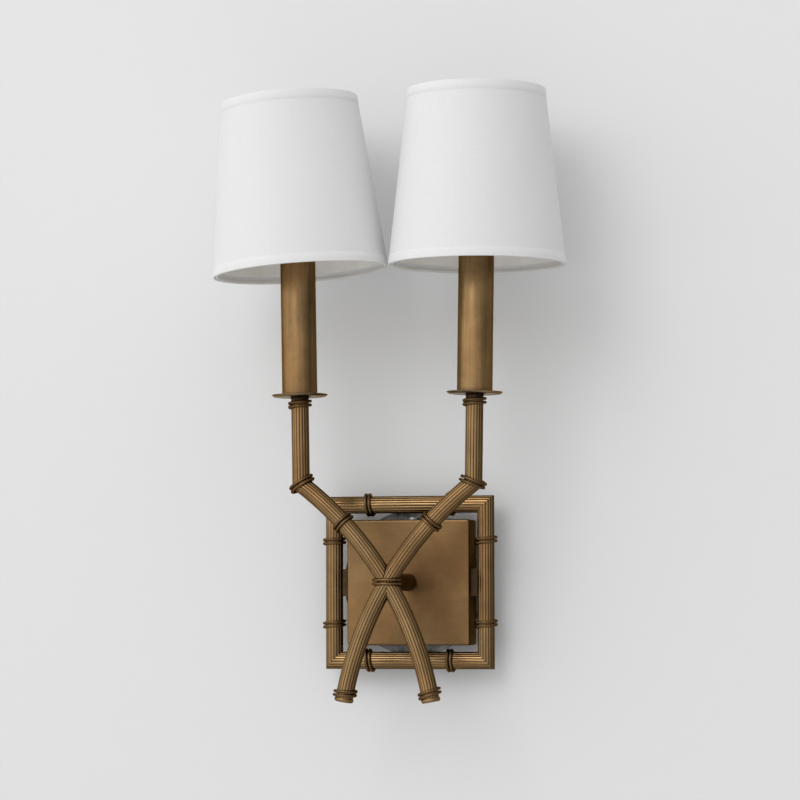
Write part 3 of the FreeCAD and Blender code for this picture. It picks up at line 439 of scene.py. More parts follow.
class Nodes:
    """One material and what its nodes are made with."""

    def __init__(self, name):
        self.material = bpy.data.materials.new(name)
        self.material.use_nodes = True
        self.tree = self.material.node_tree
        self.shader = next(n for n in self.tree.nodes if n.type == "BSDF_PRINCIPLED")

    def add(self, kind, inputs=None, **settings):
        node = self.tree.nodes.new(kind)
        for key, value in settings.items():
            setattr(node, key, value)
        for key, value in (inputs or {}).items():
            if isinstance(value, bpy.types.NodeSocket):
                self.tree.links.new(value, node.inputs[key])
            else:
                node.inputs[key].default_value = value
        return node

    def set(self, **values):
        for key, value in values.items():
            socket = self.shader.inputs[key.replace("_", " ")]
            if isinstance(value, bpy.types.NodeSocket):
                self.tree.links.new(value, socket)
            else:
                socket.default_value = value

    def mapped(self, source, scale, rotation=(0, 0, 0)):
        start = self.add("ShaderNodeTexCoord").outputs["UV" if source == "uv" else "Object"]
        return self.add("ShaderNodeMapping", {"Vector": start, "Scale": scale, "Rotation": rotation}).outputs[0]

    def noise(self, vector, detail=3.0, roughness=0.55):
        return self.add("ShaderNodeTexNoise", {"Vector": vector, "Scale": 1.0, "Detail": detail,
                                               "Roughness": roughness}).outputs[0]

    def ramp(self, value, low, high, start=0.0, end=1.0):
        return self.add("ShaderNodeMapRange", {"Value": value, "From Min": start, "From Max": end,
                                               "To Min": low, "To Max": high}).outputs[0]

    def blend(self, share, first, second):
        node = self.add("ShaderNodeMix", data_type="RGBA")
        for socket, value in ((node.inputs[0], share), (node.inputs[6], first), (node.inputs[7], second)):
            if isinstance(value, bpy.types.NodeSocket):
                self.tree.links.new(value, socket)
            else:
                socket.default_value = value if socket.type == "VALUE" else (*value[:3], 1)
        return node.outputs[2]

    def math(self, operation, *values):
        node = self.add("ShaderNodeMath", operation=operation)
        for socket, value in zip(node.inputs, values):
            if isinstance(value, bpy.types.NodeSocket):
                self.tree.links.new(value, socket)
            else:
                socket.default_value = value
        return node.outputs[0]

    def painted_shade_and_unrubbed(self, share, flank):
        """Painted shade, partly standing for finish not rubbed bright: grows from 0 on faces that look to the front
        up to share on the flanks and the back.
        """
        normal = self.add("ShaderNodeTexCoord").outputs["Normal"]
        lean = self.add("ShaderNodeVectorMath", {0: normal, 1: (0, 1, 0)}, operation="DOT_PRODUCT")
        return self.ramp(lean.outputs["Value"], 0.0, share, SHADE_AND_UNRUBBED_START, flank)

    def attribute(self, name):
        return self.add("ShaderNodeAttribute", attribute_name=name).outputs["Fac"]

    def bump(self, height, distance, strength=1.0):
        inputs = {"Height": height, "Distance": distance, "Strength": strength}
        return self.add("ShaderNodeBump", inputs).outputs[0]


def brass(name, colour, dark, roughness, coords, brush, brush_depth=0.00002, streak=(420, 12, 1), uneven=0.32,
          wear=0.75, painted_shade_and_unrubbed=0.68, flank=-0.5):
    """Antique brass: brushed and clouded, dark in its grooves, and darker on faces turned from the room as painted
    shade, partly standing for finish not rubbed bright.
    """
    n = Nodes(name)
    lines = n.noise(n.mapped(coords, brush), detail=4, roughness=0.6)
    streaks = n.noise(n.mapped(coords, streak), detail=3, roughness=0.5)
    clouds = n.noise(n.mapped("object", (38, 38, 38)), detail=5, roughness=0.62)
    drifts = n.noise(n.mapped("object", (17, 17, 17)), detail=2)
    specks = n.noise(n.mapped("object", (900, 900, 900)), detail=2)
    warm = (colour[0] * 1.04, colour[1] * 0.93, colour[2] * 0.86)
    tone = n.blend(n.ramp(drifts, 0.0, 1.0, 0.42, 0.62), colour, warm)
    tone = n.blend(n.ramp(clouds, 0.0, 0.5, 0.4, 0.72), tone, dark)
    tone = n.blend(n.ramp(streaks, 0.0, uneven, 0.42, 0.66), tone, dark)
    tone = n.blend(n.ramp(lines, 0.0, 0.3, 0.35, 0.75), tone, [c * 0.55 for c in colour])
    tone = n.blend(n.ramp(specks, 0.0, 0.25, 0.62, 0.74), tone, dark)
    groove = n.math("MULTIPLY", n.attribute("groove"), wear)
    tone = n.blend(groove, tone, [c * 0.3 for c in dark])
    # painted shade on the flanks and back, partly standing for antique finish not rubbed bright there
    tone = n.blend(n.painted_shade_and_unrubbed(painted_shade_and_unrubbed, flank), tone, [c * 0.6 for c in dark])
    rough = n.math("ADD", n.ramp(lines, roughness - 0.05, roughness + 0.08, 0.3, 0.7),
                   n.ramp(streaks, -0.12 * uneven, 0.2 * uneven, 0.3, 0.7))
    n.set(Base_Color=tone, Metallic=1.0, Specular_Tint=(0.62, 0.5, 0.36, 1),
          Roughness=n.math("ADD", rough, n.math("MULTIPLY", n.attribute("groove"), 0.15)),
          Normal=n.bump(n.math("ADD", lines, n.math("MULTIPLY", specks, 0.25)), brush_depth))
    return n.material


def zinc(name, bright=(0.62, 0.64, 0.66), dull=(0.47, 0.48, 0.49)):
    """Clouded zinc or plain steel with a fine grain."""
    n = Nodes(name)
    clouds = n.noise(n.mapped("object", (120, 120, 120)), detail=4)
    grain = n.noise(n.mapped("object", (1500, 300, 1500)), detail=2)
    n.set(Base_Color=n.blend(n.ramp(clouds, 0, 1, 0.35, 0.7), bright, dull),
          Metallic=1.0, Roughness=n.ramp(grain, 0.26, 0.42, 0.3, 0.7), Normal=n.bump(grain, 0.00001))
    return n.material


def linen(name, colour, depth=0.00012):
    """Plain weave of slightly uneven yarns; the coordinates run round and up the shade in metres."""
    n = Nodes(name)
    yarns = []
    for rotation in (0, math.pi / 2):
        wobble = n.noise(n.mapped("uv", (220, 220, 220)), detail=2)
        vector = n.mapped("uv", (1, 1, 1), (0, 0, rotation))
        split = n.add("ShaderNodeSeparateXYZ", {"Vector": vector}).outputs[0]
        phase = n.math("ADD", n.math("MULTIPLY", split, TAU / YARN_SPACING), n.math("MULTIPLY", wobble, 2.2))
        yarns.append(n.math("SINE", phase))
    weave = n.math("MAXIMUM", *yarns)
    slub_round = n.noise(n.mapped("uv", (60, 1500, 1)), detail=3)
    slub_up = n.noise(n.mapped("uv", (1500, 60, 1)), detail=3)
    slubs = n.math("MULTIPLY", n.math("ADD", slub_round, slub_up), 0.5)
    clouds = n.noise(n.mapped("object", (26, 26, 14)), detail=3)
    shade = n.blend(n.ramp(slubs, 0.0, 0.5, 0.42, 0.62), colour, [c * 0.93 for c in colour])
    shade = n.blend(n.ramp(clouds, 0.0, 0.25, 0.4, 0.7), shade, [c * 0.96 for c in colour])
    height = n.math("ADD", n.math("MULTIPLY", weave, 0.5), n.math("MULTIPLY", slubs, 2.2))
    n.set(Base_Color=shade, Roughness=0.88, Specular_IOR_Level=0.25, Sheen_Weight=0.15, Sheen_Roughness=0.5,
          Normal=n.bump(height, depth, 0.5))
    return n.material


def enamel(name, colour, roughness, grain, depth=0.00002, spread=0.05, **extra):
    """Smooth lacquer, moulding, sheet or glass with a faint mottle."""
    n = Nodes(name)
    mottle = n.noise(n.mapped("object", (grain, grain, grain)), detail=3)
    clouds = n.noise(n.mapped("object", (60, 60, 60)), detail=3)
    n.set(Base_Color=n.blend(n.ramp(clouds, 0, 1, 0.35, 0.7), colour, [c * (1 - spread * 2) for c in colour]),
          Roughness=n.ramp(mottle, roughness - 0.06, roughness + 0.08, 0.3, 0.7),
          Normal=n.bump(mottle, depth), **extra)
    return n.material


BRASS, BRASS_DARK = (0.42, 0.268, 0.123), (0.11, 0.067, 0.031)
# how often brush lines repeat per metre round and along a piece
UP_BRUSH, ROUND_BRUSH = (1400, 45, 1), (45, 1400, 1)
MATERIALS = {
    # painted shade on the flanks and back of each brass below: strongest on the tubes, slight on the drip pans, none
    # on the shell brass
    "tube": brass("brass_tube", (0.41, 0.26, 0.12), BRASS_DARK, 0.17, "uv", UP_BRUSH, wear=0.42, painted_shade_and_unrubbed=0.93,
                  flank=-0.66),
    "candle": brass("brass_candle", BRASS, BRASS_DARK, 0.3, "uv", UP_BRUSH, 0.00003),
    "pan": brass("brass_plate", (0.28, 0.169, 0.075), BRASS_DARK, 0.36, "object", (30, 1200, 1200),
                 streak=(9, 250, 250), uneven=0.06),
    "turned": brass("brass_turned", BRASS, BRASS_DARK, 0.3, "uv", ROUND_BRUSH, streak=(9, 300, 1), uneven=0.1),
    "drip_pan": brass("brass_drip_pan", (0.27, 0.21, 0.13), BRASS_DARK, 0.24, "uv", ROUND_BRUSH,
                      streak=(9, 300, 1), uneven=0.1, painted_shade_and_unrubbed=0.2),
    "dark_wire": brass("wire_dark", (0.22, 0.135, 0.062), (0.08, 0.047, 0.022), 0.3, "uv", (700, 30, 1)),
    # painted shade: a dark copy of the brass for the frame tabs and the necks, which sit in shade behind the plate
    # and under the drip pans
    "tab": brass("brass_painted_shade", (0.10, 0.066, 0.036), (0.05, 0.034, 0.02), 0.5, "object", (300, 300, 300)),
    # painted shade: a dark copy of the brass for the post, which stands in shade between the plate and the crossing
    "post": brass("brass_post_painted_shade", (0.10, 0.085, 0.05), (0.05, 0.04, 0.025), 0.34, "uv", ROUND_BRUSH,
                  streak=(9, 300, 1)),
    "zinc": zinc("zinc_plate"),
    # painted shade: a dark copy of the zinc for the wall bracket, which sits in shade behind the plate
    "painted_shade_zinc": zinc("zinc_bracket", (0.30, 0.30, 0.29), (0.07, 0.066, 0.06)),
    "linen": linen("linen_white", (0.79, 0.79, 0.79)),
    "hem": linen("linen_hem", (0.80, 0.80, 0.80), 0.0001),
    "liner": enamel("liner_styrene", (0.95, 0.925, 0.885), 0.5, 500, 0.00002),
    "ring": enamel("ring_enamel", (0.74, 0.72, 0.68), 0.35, 900),
    "phenolic": enamel("phenolic", (0.022, 0.018, 0.015), 0.42, 1200, 0.00003, 0.2),
    "steel": zinc("spring_steel"),
    "opal": enamel("opal_glass", (0.86, 0.84, 0.79), 0.16, 40, 0.0, 0.02, Coat_Weight=0.6,
                   Coat_Roughness=0.06, Subsurface_Weight=0.35, Subsurface_Radius=(1, 0.95, 0.9),
                   Subsurface_Scale=0.006),
    "shell": brass("shell_brass", (0.72, 0.54, 0.26), (0.50, 0.36, 0.16), 0.24, "uv", ROUND_BRUSH, painted_shade_and_unrubbed=0.0),
}

CAD_FINISH = {
    "wall_bracket": "painted_shade_zinc", "ground_screw": "zinc", "set_screws": "zinc", "post_washer": "zinc",
    "post_nut": "zinc", "threaded_pipes": "zinc", "lock_nuts": "zinc", "frame_tabs": "tab",
    "screw_shells": "shell", "socket_contacts": "shell",
}
for label, finish in CAD_FINISH.items():
    NODES[label].data.materials.clear()
    NODES[label].data.materials.append(MATERIALS[finish])

# ---- square frame and backplate

RAIL_AXIS = FRAME_SIZE / 2 - TUBE_RADIUS
RAIL_DEPTH = -(PLATE_FRONT - TUBE_RADIUS)
WINDING_OFFSET = 30.5
FRAME_LEANS = (0.35, -0.3, 0.3, 0.15, -0.35, 0.25, 0.2, -0.25)


def frame_pieces():
    """Four mitred rails, each with two windings."""
    leans = iter(FRAME_LEANS)
    for name, turn in (("top", 0), ("right", 90), ("bottom", 180), ("left", 270)):
        rotation = Matrix.Rotation(math.radians(turn), 3, "Y")
        out = rotation @ UP
        across = rotation @ ACROSS
        middle = out * RAIL_AXIS + Vector((0, RAIL_DEPTH, 0))
        corners = [middle + across * (RAIL_AXIS * side) for side in (-1, 1)]
        cuts = [(corner, (across * side - out).normalized()) for corner, side in zip(corners, (-1, 1))]
        straight_tube(f"frame_{name}", *corners, FRONT, [f"frame_rail_{name}"], *cuts)
        for side, letter in ((-1, "a"), (1, "b")):
            wound(f"winding_{name}_{letter}", middle + across * (WINDING_OFFSET * side), across, ROUND_TUBE,
                  next(leans))


def square_loop(half, corner, depth):
    """Rounded square parallel to the wall, depth in front of it."""
    points, steps = [], 6
    for quarter in range(4):
        turn = quarter * math.pi / 2
        centre = Vector((half - corner, half - corner))
        for step in range(steps + 1):
            angle = math.pi / 2 * step / steps
            spot = centre + Vector((corner * math.cos(angle), corner * math.sin(angle)))
            x = spot.x * math.cos(turn) - spot.y * math.sin(turn)
            z = spot.x * math.sin(turn) + spot.y * math.cos(turn)
            points.append(Vector((x, -depth, z)))
    return points


def backplate():
    """Folded square pan, open towards the wall, with a rolled front edge."""
    half = PLATE_SIZE / 2
    rows = [square_loop(half - PLATE_WALL - 0.8, PLATE_SHARP, PLATE_FRONT - PLATE_WALL),
            square_loop(half - PLATE_WALL, PLATE_CORNER - 0.6, PLATE_FRONT - PLATE_WALL),
            square_loop(half - PLATE_WALL, PLATE_CORNER - 0.6, PLATE_REAR + PLATE_EDGE),
            square_loop(half - PLATE_WALL + PLATE_EDGE, PLATE_CORNER - 0.5, PLATE_REAR),
            square_loop(half - PLATE_EDGE, PLATE_CORNER - 0.1, PLATE_REAR),
            square_loop(half, PLATE_CORNER, PLATE_REAR + PLATE_EDGE)]
    bevel_steps = 6
    for step in range(bevel_steps + 1):
        angle = math.pi / 2 * step / bevel_steps
        inset = PLATE_BEVEL * (1 - math.cos(angle))
        rise = PLATE_BEVEL * math.sin(angle)
        rows.append(square_loop(half - inset, max(PLATE_CORNER - inset, PLATE_SHARP),
                                PLATE_FRONT - PLATE_BEVEL + rise))
    rows.append(square_loop(half - PLATE_BEVEL - 0.6, PLATE_SHARP, PLATE_FRONT))
    vertices = [point for row in rows for point in row]
    return piece("plate", "sconce", "antique_brass", MATERIALS["pan"], vertices,
                 [face[::-1] for face in capped(rows)], replaces=["backplate"], sharp=35)


frame_pieces()
backplate()

# ---- post, arms, risers and feet

STUD_RADIUS, STUD_LENGTH = 4.9, 9
POST_LENGTH = -ARM_Y - PLATE_FRONT
# the post takes the dark brass of painted shade
lathe("post", "sconce", "antique_brass", MATERIALS["post"],
      rounded([(0, -STUD_LENGTH), (STUD_RADIUS, -STUD_LENGTH), (STUD_RADIUS, 0), (TUBE_RADIUS, 0),
               (TUBE_RADIUS, POST_LENGTH), (0, POST_LENGTH)], 0.25),
      along_axis(Vector((0, -PLATE_FRONT, 0)), FRONT), 48, replaces=["arm_post"])

bent_tube("arm_long", RIGHT, to_foot, to_mitre, ["arm_through"], 56)
bent_tube("arm_short_upper", LEFT, to_cope_above, to_mitre, ["arm_upper_left"], 34)
bent_tube("arm_short_lower", LEFT, to_foot, to_cope_below, ["arm_lower_right"], 34)
for side in (LEFT, RIGHT):
    name = SIDE_NAMES[side]
    arm = on_arm(side)
    normal = Vector((side * MITRE_NORMAL.x, 0, MITRE_NORMAL.z))
    straight_tube(f"riser_tube_{name}", arm.translation, arm @ Vector((0, 0, RISER_HEIGHT)), FRONT,
                  [f"riser_{name}"], low_cut=(arm.translation, normal))

foot_profile = rounded([(0, 0.4), (6.5, 0.4), (6.9, -0.4), (6.8, -1.7), (6.0, -2.6), (0, -2.6)], 0.4)
half_bend = MITRE_NORMAL.angle(RISER_DIRECTION)
inward = (RISER_DIRECTION - stem_direction(ELBOW_ANGLE)).normalized()
# the wire leans with the mitre, so it needs more room across the tube, mostly inside the bend
spread = (WIRE_PITCH * 1.5 + WIRE_RADIUS) / 2 * math.tan(half_bend) / 2
elbow_wide = TUBE_RADIUS / math.cos(half_bend) + ROUND_WIRE + spread
NECK_WINDING_DROP, MID_WINDING_HEIGHT, FOOT_WINDING_DROP = 1.7, 42.5, 79.4
half_way, low_way = stem_angle(MID_WINDING_HEIGHT), stem_angle(-FOOT_WINDING_DROP)
# centre, axis, reach across the tube and lean of the right arm's windings
ARM_WINDINGS = {
    "neck": (on_arm(RIGHT) @ Vector((0, 0, RISER_HEIGHT - NECK_WINDING_DROP)), RISER_DIRECTION, ROUND_TUBE, 0.12),
    "elbow": (ELBOW + inward * spread, MITRE_NORMAL, elbow_wide, 0.3),
    "mid": (stem_point(half_way), stem_direction(half_way), ROUND_TUBE, -0.4),
    "foot": (stem_point(low_way), stem_direction(low_way), ROUND_TUBE, 0.35),
}
for side in (LEFT, RIGHT):
    for place, (centre, axis, wide, lean) in ARM_WINDINGS.items():
        if side == LEFT:
            centre, axis = flipped(centre), flipped(axis)
        wound(f"winding_{place}_{SIDE_NAMES[side]}", centre, axis, wide, lean)
    foot, way = stem_point(FOOT_ANGLE), stem_direction(FOOT_ANGLE)
    if side == LEFT:
        foot, way = flipped(foot), flipped(way)
    lathe(f"foot_{SIDE_NAMES[side]}", "sconce", "antique_brass", MATERIALS["turned"], foot_profile,
          along_axis(foot, way), 48, replaces=["foot_caps"])


def crossing_wire():
    """Hairpin round the crossing: two strands in front that turn back beside the post."""
    wide, half, sweep = 9.9, WIRE_PITCH / 2, math.radians(128)
    strand_steps, bend_steps, bend_across, bend_deep = 48, 8, 1.2, 0.7

    def strand(height):
        turns = [sweep * (2 * index / strand_steps - 1) for index in range(strand_steps + 1)]
        return [Vector((wide * math.sin(turn), ARM_Y - ROUND_TUBE * math.cos(turn), height)) for turn in turns]

    points = strand(half)
    last = points[-1]
    for step in range(1, bend_steps):
        turn = math.pi * step / bend_steps
        points.append(Vector((last.x - bend_across * math.sin(turn), last.y + bend_deep * math.sin(turn),
                              half * math.cos(turn))))
    wire("winding_crossing", points + strand(-half)[::-1])


crossing_wire()

# ---- necks, drip pans, candle tubes, sockets

for side in (LEFT, RIGHT):
    name = SIDE_NAMES[side]
    arm = on_arm(side)
    # the neck takes the dark brass of painted shade, for the shade under its drip pan
    lathe(f"neck_{name}", "sconce", "antique_brass", MATERIALS["tab"],
          rounded([(PIPE_BORE, RISER_HEIGHT), (NECK_WAIST, RISER_HEIGHT), (NECK_WAIST, RISER_HEIGHT + 2.4),
                   (NECK_RADIUS, RISER_HEIGHT + 2.6), (NECK_RADIUS, PAN_BASE - 0.4), (NECK_RADIUS - 0.3, PAN_BASE),
                   (PIPE_BORE, PAN_BASE)], 0.3),
          arm, 40, replaces=["necks"])
    lathe(f"drip_pan_{name}", "sconce", "antique_brass", MATERIALS["drip_pan"],
          rounded([(PIPE_BORE, PAN_BASE), (DRIP_PAN_RADIUS - 3.3, PAN_BASE), (DRIP_PAN_RADIUS - 1.5, PAN_BASE + 0.35),
                   (DRIP_PAN_RADIUS - 0.35, PAN_BASE + 1.3), (DRIP_PAN_RADIUS, PAN_BASE + 1.75),
                   (DRIP_PAN_RADIUS - 0.55, PAN_BASE + 2.05), (DRIP_PAN_RADIUS - 2, PAN_BASE + 1.2),
                   (DRIP_PAN_RADIUS - 3.5, CANDLE_BASE), (PIPE_BORE, CANDLE_BASE)], 0.35),
          arm, 96, replaces=["drip_pans"])
    lathe(f"candle_{name}", "sconce", "antique_brass", MATERIALS["candle"],
          rounded([(CANDLE_RADIUS - CANDLE_WALL, CANDLE_BASE), (CANDLE_RADIUS, CANDLE_BASE),
                   (CANDLE_RADIUS, CANDLE_TOP), (CANDLE_RADIUS - CANDLE_WALL, CANDLE_TOP)], 0.3),
          arm, 72, replaces=["candle_tubes"])
    lathe(f"socket_{name}", "sconce", "phenolic", MATERIALS["phenolic"],
          rounded([(0, SOCKET_BASE), (SOCKET_RADIUS, SOCKET_BASE), (SOCKET_RADIUS, SOCKET_TOP),
                   (SOCKET_MOUTH, SOCKET_TOP), (SOCKET_MOUTH - 0.4, SOCKET_TOP - 0.6),
                   (SOCKET_BORE, SOCKET_TOP - 0.6), (SOCKET_BORE, SOCKET_FLOOR), (0, SOCKET_FLOOR)], 0.4),
          arm, 48, replaces=["sockets"])

# ---- bulbs

def bulb_profile():
    """Torpedo envelope from two arcs that share the belly, with a rounded tip."""
    profile = [(0, CAP_TOP - 0.6), (BULB_FOOT - 0.6, CAP_TOP - 0.6)]
    arc_steps, tip_steps = 14, 5
    for low, high, end_radius, turn in ((CAP_TOP, BELLY, BULB_FOOT, -1), (BELLY, BULB_TOP, BULB_TIP, 1)):
        bulge, length = BULB_RADIUS - end_radius, high - low
        radius = (bulge * bulge + length * length) / (2 * bulge)
        for step in range(arc_steps):
            share = step / arc_steps
            height = length * (1 - share if turn < 0 else share)
            drop = radius - math.sqrt(radius * radius - height * height)
            profile.append((BULB_RADIUS - drop, BELLY + turn * height))
    for step in range(tip_steps + 1):
        angle = math.pi / 2 * step / tip_steps
        profile.append((BULB_TIP * math.cos(angle), BULB_TOP + 0.6 * math.sin(angle)))
    return profile


def bulb_cap_profile():
    """Screw cap: centre contact, insulator, rounded thread crests and a plain collar."""
    thread_depth, thread_pitch, thread_step = 0.32, 2.2, 0.45
    profile = [(0, CAP_BASE - 1.6), (1.6, CAP_BASE - 1.6), (2.2, CAP_BASE - 1.2), (2.4, CAP_BASE - 0.5)]
    profile += [(4.4, CAP_BASE), (5.2, CAP_BASE + 0.8)]
    height = CAP_BASE + 1.2
    while height < CAP_TOP - 4:
        crest = thread_depth * math.sin((height - CAP_BASE) * TAU / thread_pitch)
        profile.append((CAP_RADIUS - thread_depth + crest, height))
        height += thread_step
    return profile + [(5.5, CAP_TOP - 3.6), (5.7, CAP_TOP - 3), (CAP_RADIUS, CAP_TOP), (0, CAP_TOP)]


for side in (LEFT, RIGHT):
    name = SIDE_NAMES[side]
    lathe(f"bulb_{name}", f"{name}_bulb", "opal_glass", MATERIALS["opal"], bulb_profile(), on_arm(side), 64,
          closed=False, replaces=[f"bulb_glass_{name}"], sharp=60)
    lathe(f"bulb_screw_{name}", f"{name}_bulb", "shell_brass", MATERIALS["shell"], bulb_cap_profile(),
          on_arm(side), 48, closed=False, replaces=[f"bulb_cap_{name}"], sharp=60)

# ---- clips

CLIP_BORE, CLIP_THICKNESS, CLIP_HEIGHT, PIN_RADIUS, PIN_LENGTH = 17.75, 0.8, 7, 1.2, 4.2


def clip(side):
    """Sprung strip round the belly, open towards +X with turned-out lips, and its two pins."""
    name, matrix = SIDE_NAMES[side], on_clip(side)
    count, opening = 72, math.radians(12)
    path = []
    for index in range(count + 1):
        turn = opening + (TAU - 2 * opening) * index / count
        path.append((CLIP_BORE + CLIP_THICKNESS / 2, turn))
    lips = [(CLIP_BORE + 2.6, opening - 0.07), (CLIP_BORE + 1.4, opening - 0.045)]
    path = lips + path + [(radius, TAU - turn) for radius, turn in reversed(lips)]
    out, up, chamfer_out, chamfer_up, hollow = CLIP_THICKNESS / 2, CLIP_HEIGHT / 2, 0.2, 0.3, 0.12
    section = [(-out, -up + chamfer_up), (-out + chamfer_out, -up), (out - chamfer_out, -up), (out, -up + chamfer_up),
               (out - hollow, 0), (out, up - chamfer_up), (out - chamfer_out, up), (-out + chamfer_out, up),
               (-out, up - chamfer_up), (-out, 0)]
    vertices = [((radius + shift) * math.cos(turn), (radius + shift) * math.sin(turn), height)
                for radius, turn in path for shift, height in section]
    faces = [face[::-1] for face in capped([section] * len(path))]
    piece(f"clip_{name}", f"{name}_clip", "spring_steel", MATERIALS["steel"], vertices, faces, matrix=matrix,
          replaces=[f"bulb_clip_{name}"], sharp=35)
    for turn, letter in ((0, "front"), (math.pi, "rear")):
        way = Matrix.Rotation(turn, 4, "Z") @ along_axis(Vector((0, -CLIP_BORE - 0.4, 0)), FRONT)
        reach = CLIP_THICKNESS / 2 + PIN_LENGTH
        lathe(f"clip_pin_{letter}_{name}", f"{name}_clip", "spring_steel", MATERIALS["steel"],
              rounded([(0, 0), (2.0, 0), (2.0, 0.7), (PIN_RADIUS, 0.9), (PIN_RADIUS, reach), (0, reach)], 0.25),
              matrix @ way, 24, replaces=[f"bulb_clip_{name}"])


# ---- shades

SLOPE = (SHADE_BOTTOM_RADIUS - SHADE_TOP_RADIUS) / (SHADE_HIGH - SHADE_LOW)
HEM_LOW, HEM_TOP, HEM_PROUD = 6.6, 7.2, 0.2
SKIN_INSET, SKIN_DEPTH = 0.5, 0.85
ROUND_STEPS, UP_STEPS = 144, 44
CLOTH_RADIUS = 56
RING_STEPS, RING_WIDE, RING_TALL, RING_INSET, RING_GAP = 12, 1.6, 2.2, 1.2, 0.15
BOTTOM_RING_RADIUS = SHADE_BOTTOM_RADIUS - SHADE_WALL - 2 * RING_INSET * SLOPE - RING_GAP - RING_WIDE / 2 - 0.35
LEG_HALF, LEG_HALF_WIDTH, LEG_CHAMFER = 0.65, 2, 0.2
SEAM_TURN, SEAM_WIDTH, SEAM_PROUD, SEAM_SUNK = math.pi / 2, 7.0, 0.22, 0.2


def cone_radius(height):
    return SHADE_BOTTOM_RADIUS - SLOPE * (height - SHADE_LOW)


def ripple(turn, height, seed):
    """Slight unevenness of the stretched cloth, in millimetres."""
    share = (height - SHADE_LOW) / (SHADE_HIGH - SHADE_LOW)
    fade = math.sin(math.pi * min(max(share, 0), 1))
    wave = math.sin(3 * turn + 1.3 * seed) * math.sin(2.4 * share * math.pi + seed)
    wave += 0.6 * math.sin(7 * turn - 2.1 * seed + 3 * share) + 0.35 * math.sin(13 * turn + seed + 7 * share)
    return 0.13 * fade * wave


def shade_surface(label, body, material, stations, matrix, seed, **options):
    """Closed skin turned from stations of (height, inset from the cone)."""
    vertices, uvs = [], []
    run, before = 0, None
    for height, inset in stations:
        radius = cone_radius(height) - inset
        if before is not None:
            run += math.dist(before, (radius, height))
        before = (radius, height)
        for step in range(ROUND_STEPS):
            turn = TAU * step / ROUND_STEPS
            here = radius + ripple(turn, height, seed)
            vertices.append((here * math.cos(turn), here * math.sin(turn), height))
            uvs.append((turn * CLOTH_RADIUS, run))
    faces = loft([range(ROUND_STEPS)] * len(stations), closed_columns=True)
    return piece(label, body, "linen", material, vertices, faces, uvs, matrix=matrix, sharp=50, **options)


def hem_section(edge, inwards, width, middle):
    """Folded band over a shade's edge, from its outside round to its inside."""
    return [(edge + inwards * up, inset) for up, inset in (
        (width, -0.02), (width - 0.25, -HEM_PROUD), (middle, -HEM_PROUD - 0.06), (0.7, -HEM_PROUD), (0.1, -0.05),
        (-0.1, 0.5), (0.15, 1.1), (0.9, 1.35), (4.5, 1.3), (5.2, 0.88), (3.5, 0.6))]


def shade(side):
    """Cloth skin with its liner, hems, seam, rings and carrier."""
    name = SIDE_NAMES[side]
    body, matrix, seed = f"{name}_shade", on_shade(side), 1.0 + side
    low, high = SHADE_LOW + SKIN_INSET, SHADE_HIGH - SKIN_INSET
    heights = [low + (high - low) * step / UP_STEPS for step in range(UP_STEPS + 1)]
    skin = [(height, 0) for height in heights] + [(height, SKIN_DEPTH) for height in reversed(heights)]
    half = len(heights) * ROUND_STEPS
    shade_surface(f"shade_skin_{name}", body, MATERIALS["linen"], skin, matrix, seed, replaces=[f"shade_{name}"],
                  materials=[MATERIALS["liner"]], face_materials=[0] * half + [1] * half)
    bottom_hem = hem_section(SHADE_LOW, 1, HEM_LOW, 3.3)
    top_hem = hem_section(SHADE_HIGH, -1, HEM_TOP, 3.5)
    shade_surface(f"shade_hem_bottom_{name}", body, MATERIALS["hem"], bottom_hem, matrix, seed)
    shade_surface(f"shade_hem_top_{name}", body, MATERIALS["hem"], top_hem[::-1], matrix, seed)
    seam_strip(name, body, matrix, seed)
    rings(name, body, matrix)


def seam_strip(name, body, matrix, seed):
    """Lapped vertical seam of the cloth at the side next to the wall."""
    half = SEAM_WIDTH / 2 / CLOTH_RADIUS
    low, high = SHADE_LOW + HEM_LOW - 0.5, SHADE_HIGH - HEM_TOP + 0.5
    shares = (-1, -0.9, -0.5, 0, 0.5, 0.9, 1)
    section = [(share, SEAM_PROUD if abs(share) < 1 else 0.0) for share in shares]
    section += [(share, -SEAM_SUNK) for share in reversed(shares)]
    vertices, uvs = [], []
    for step in range(UP_STEPS + 1):
        height = low + (high - low) * step / UP_STEPS
        for index, (share, proud) in enumerate(section):
            turn = SEAM_TURN + half * share
            out = cone_radius(height) + ripple(turn, height, seed) + proud
            vertices.append((out * math.cos(turn), out * math.sin(turn), height))
            uvs.append((index * 1.2, step * 2.4))
    piece(f"shade_seam_{name}", body, "linen", MATERIALS["linen"], vertices, capped([section] * (UP_STEPS + 1)), uvs,
          matrix=matrix, sharp=30)


def round_ring(label, body, radius, height, matrix, replaces):
    """Ring of flattened wire."""
    profile = []
    for step in range(RING_STEPS):
        angle = TAU * step / RING_STEPS
        profile.append((radius + RING_WIDE / 2 * math.cos(angle), height + RING_TALL / 2 * math.sin(angle)))
    lathe(label, body, "ring_white", MATERIALS["ring"], profile, matrix, 96, replaces=replaces, sharp=70)


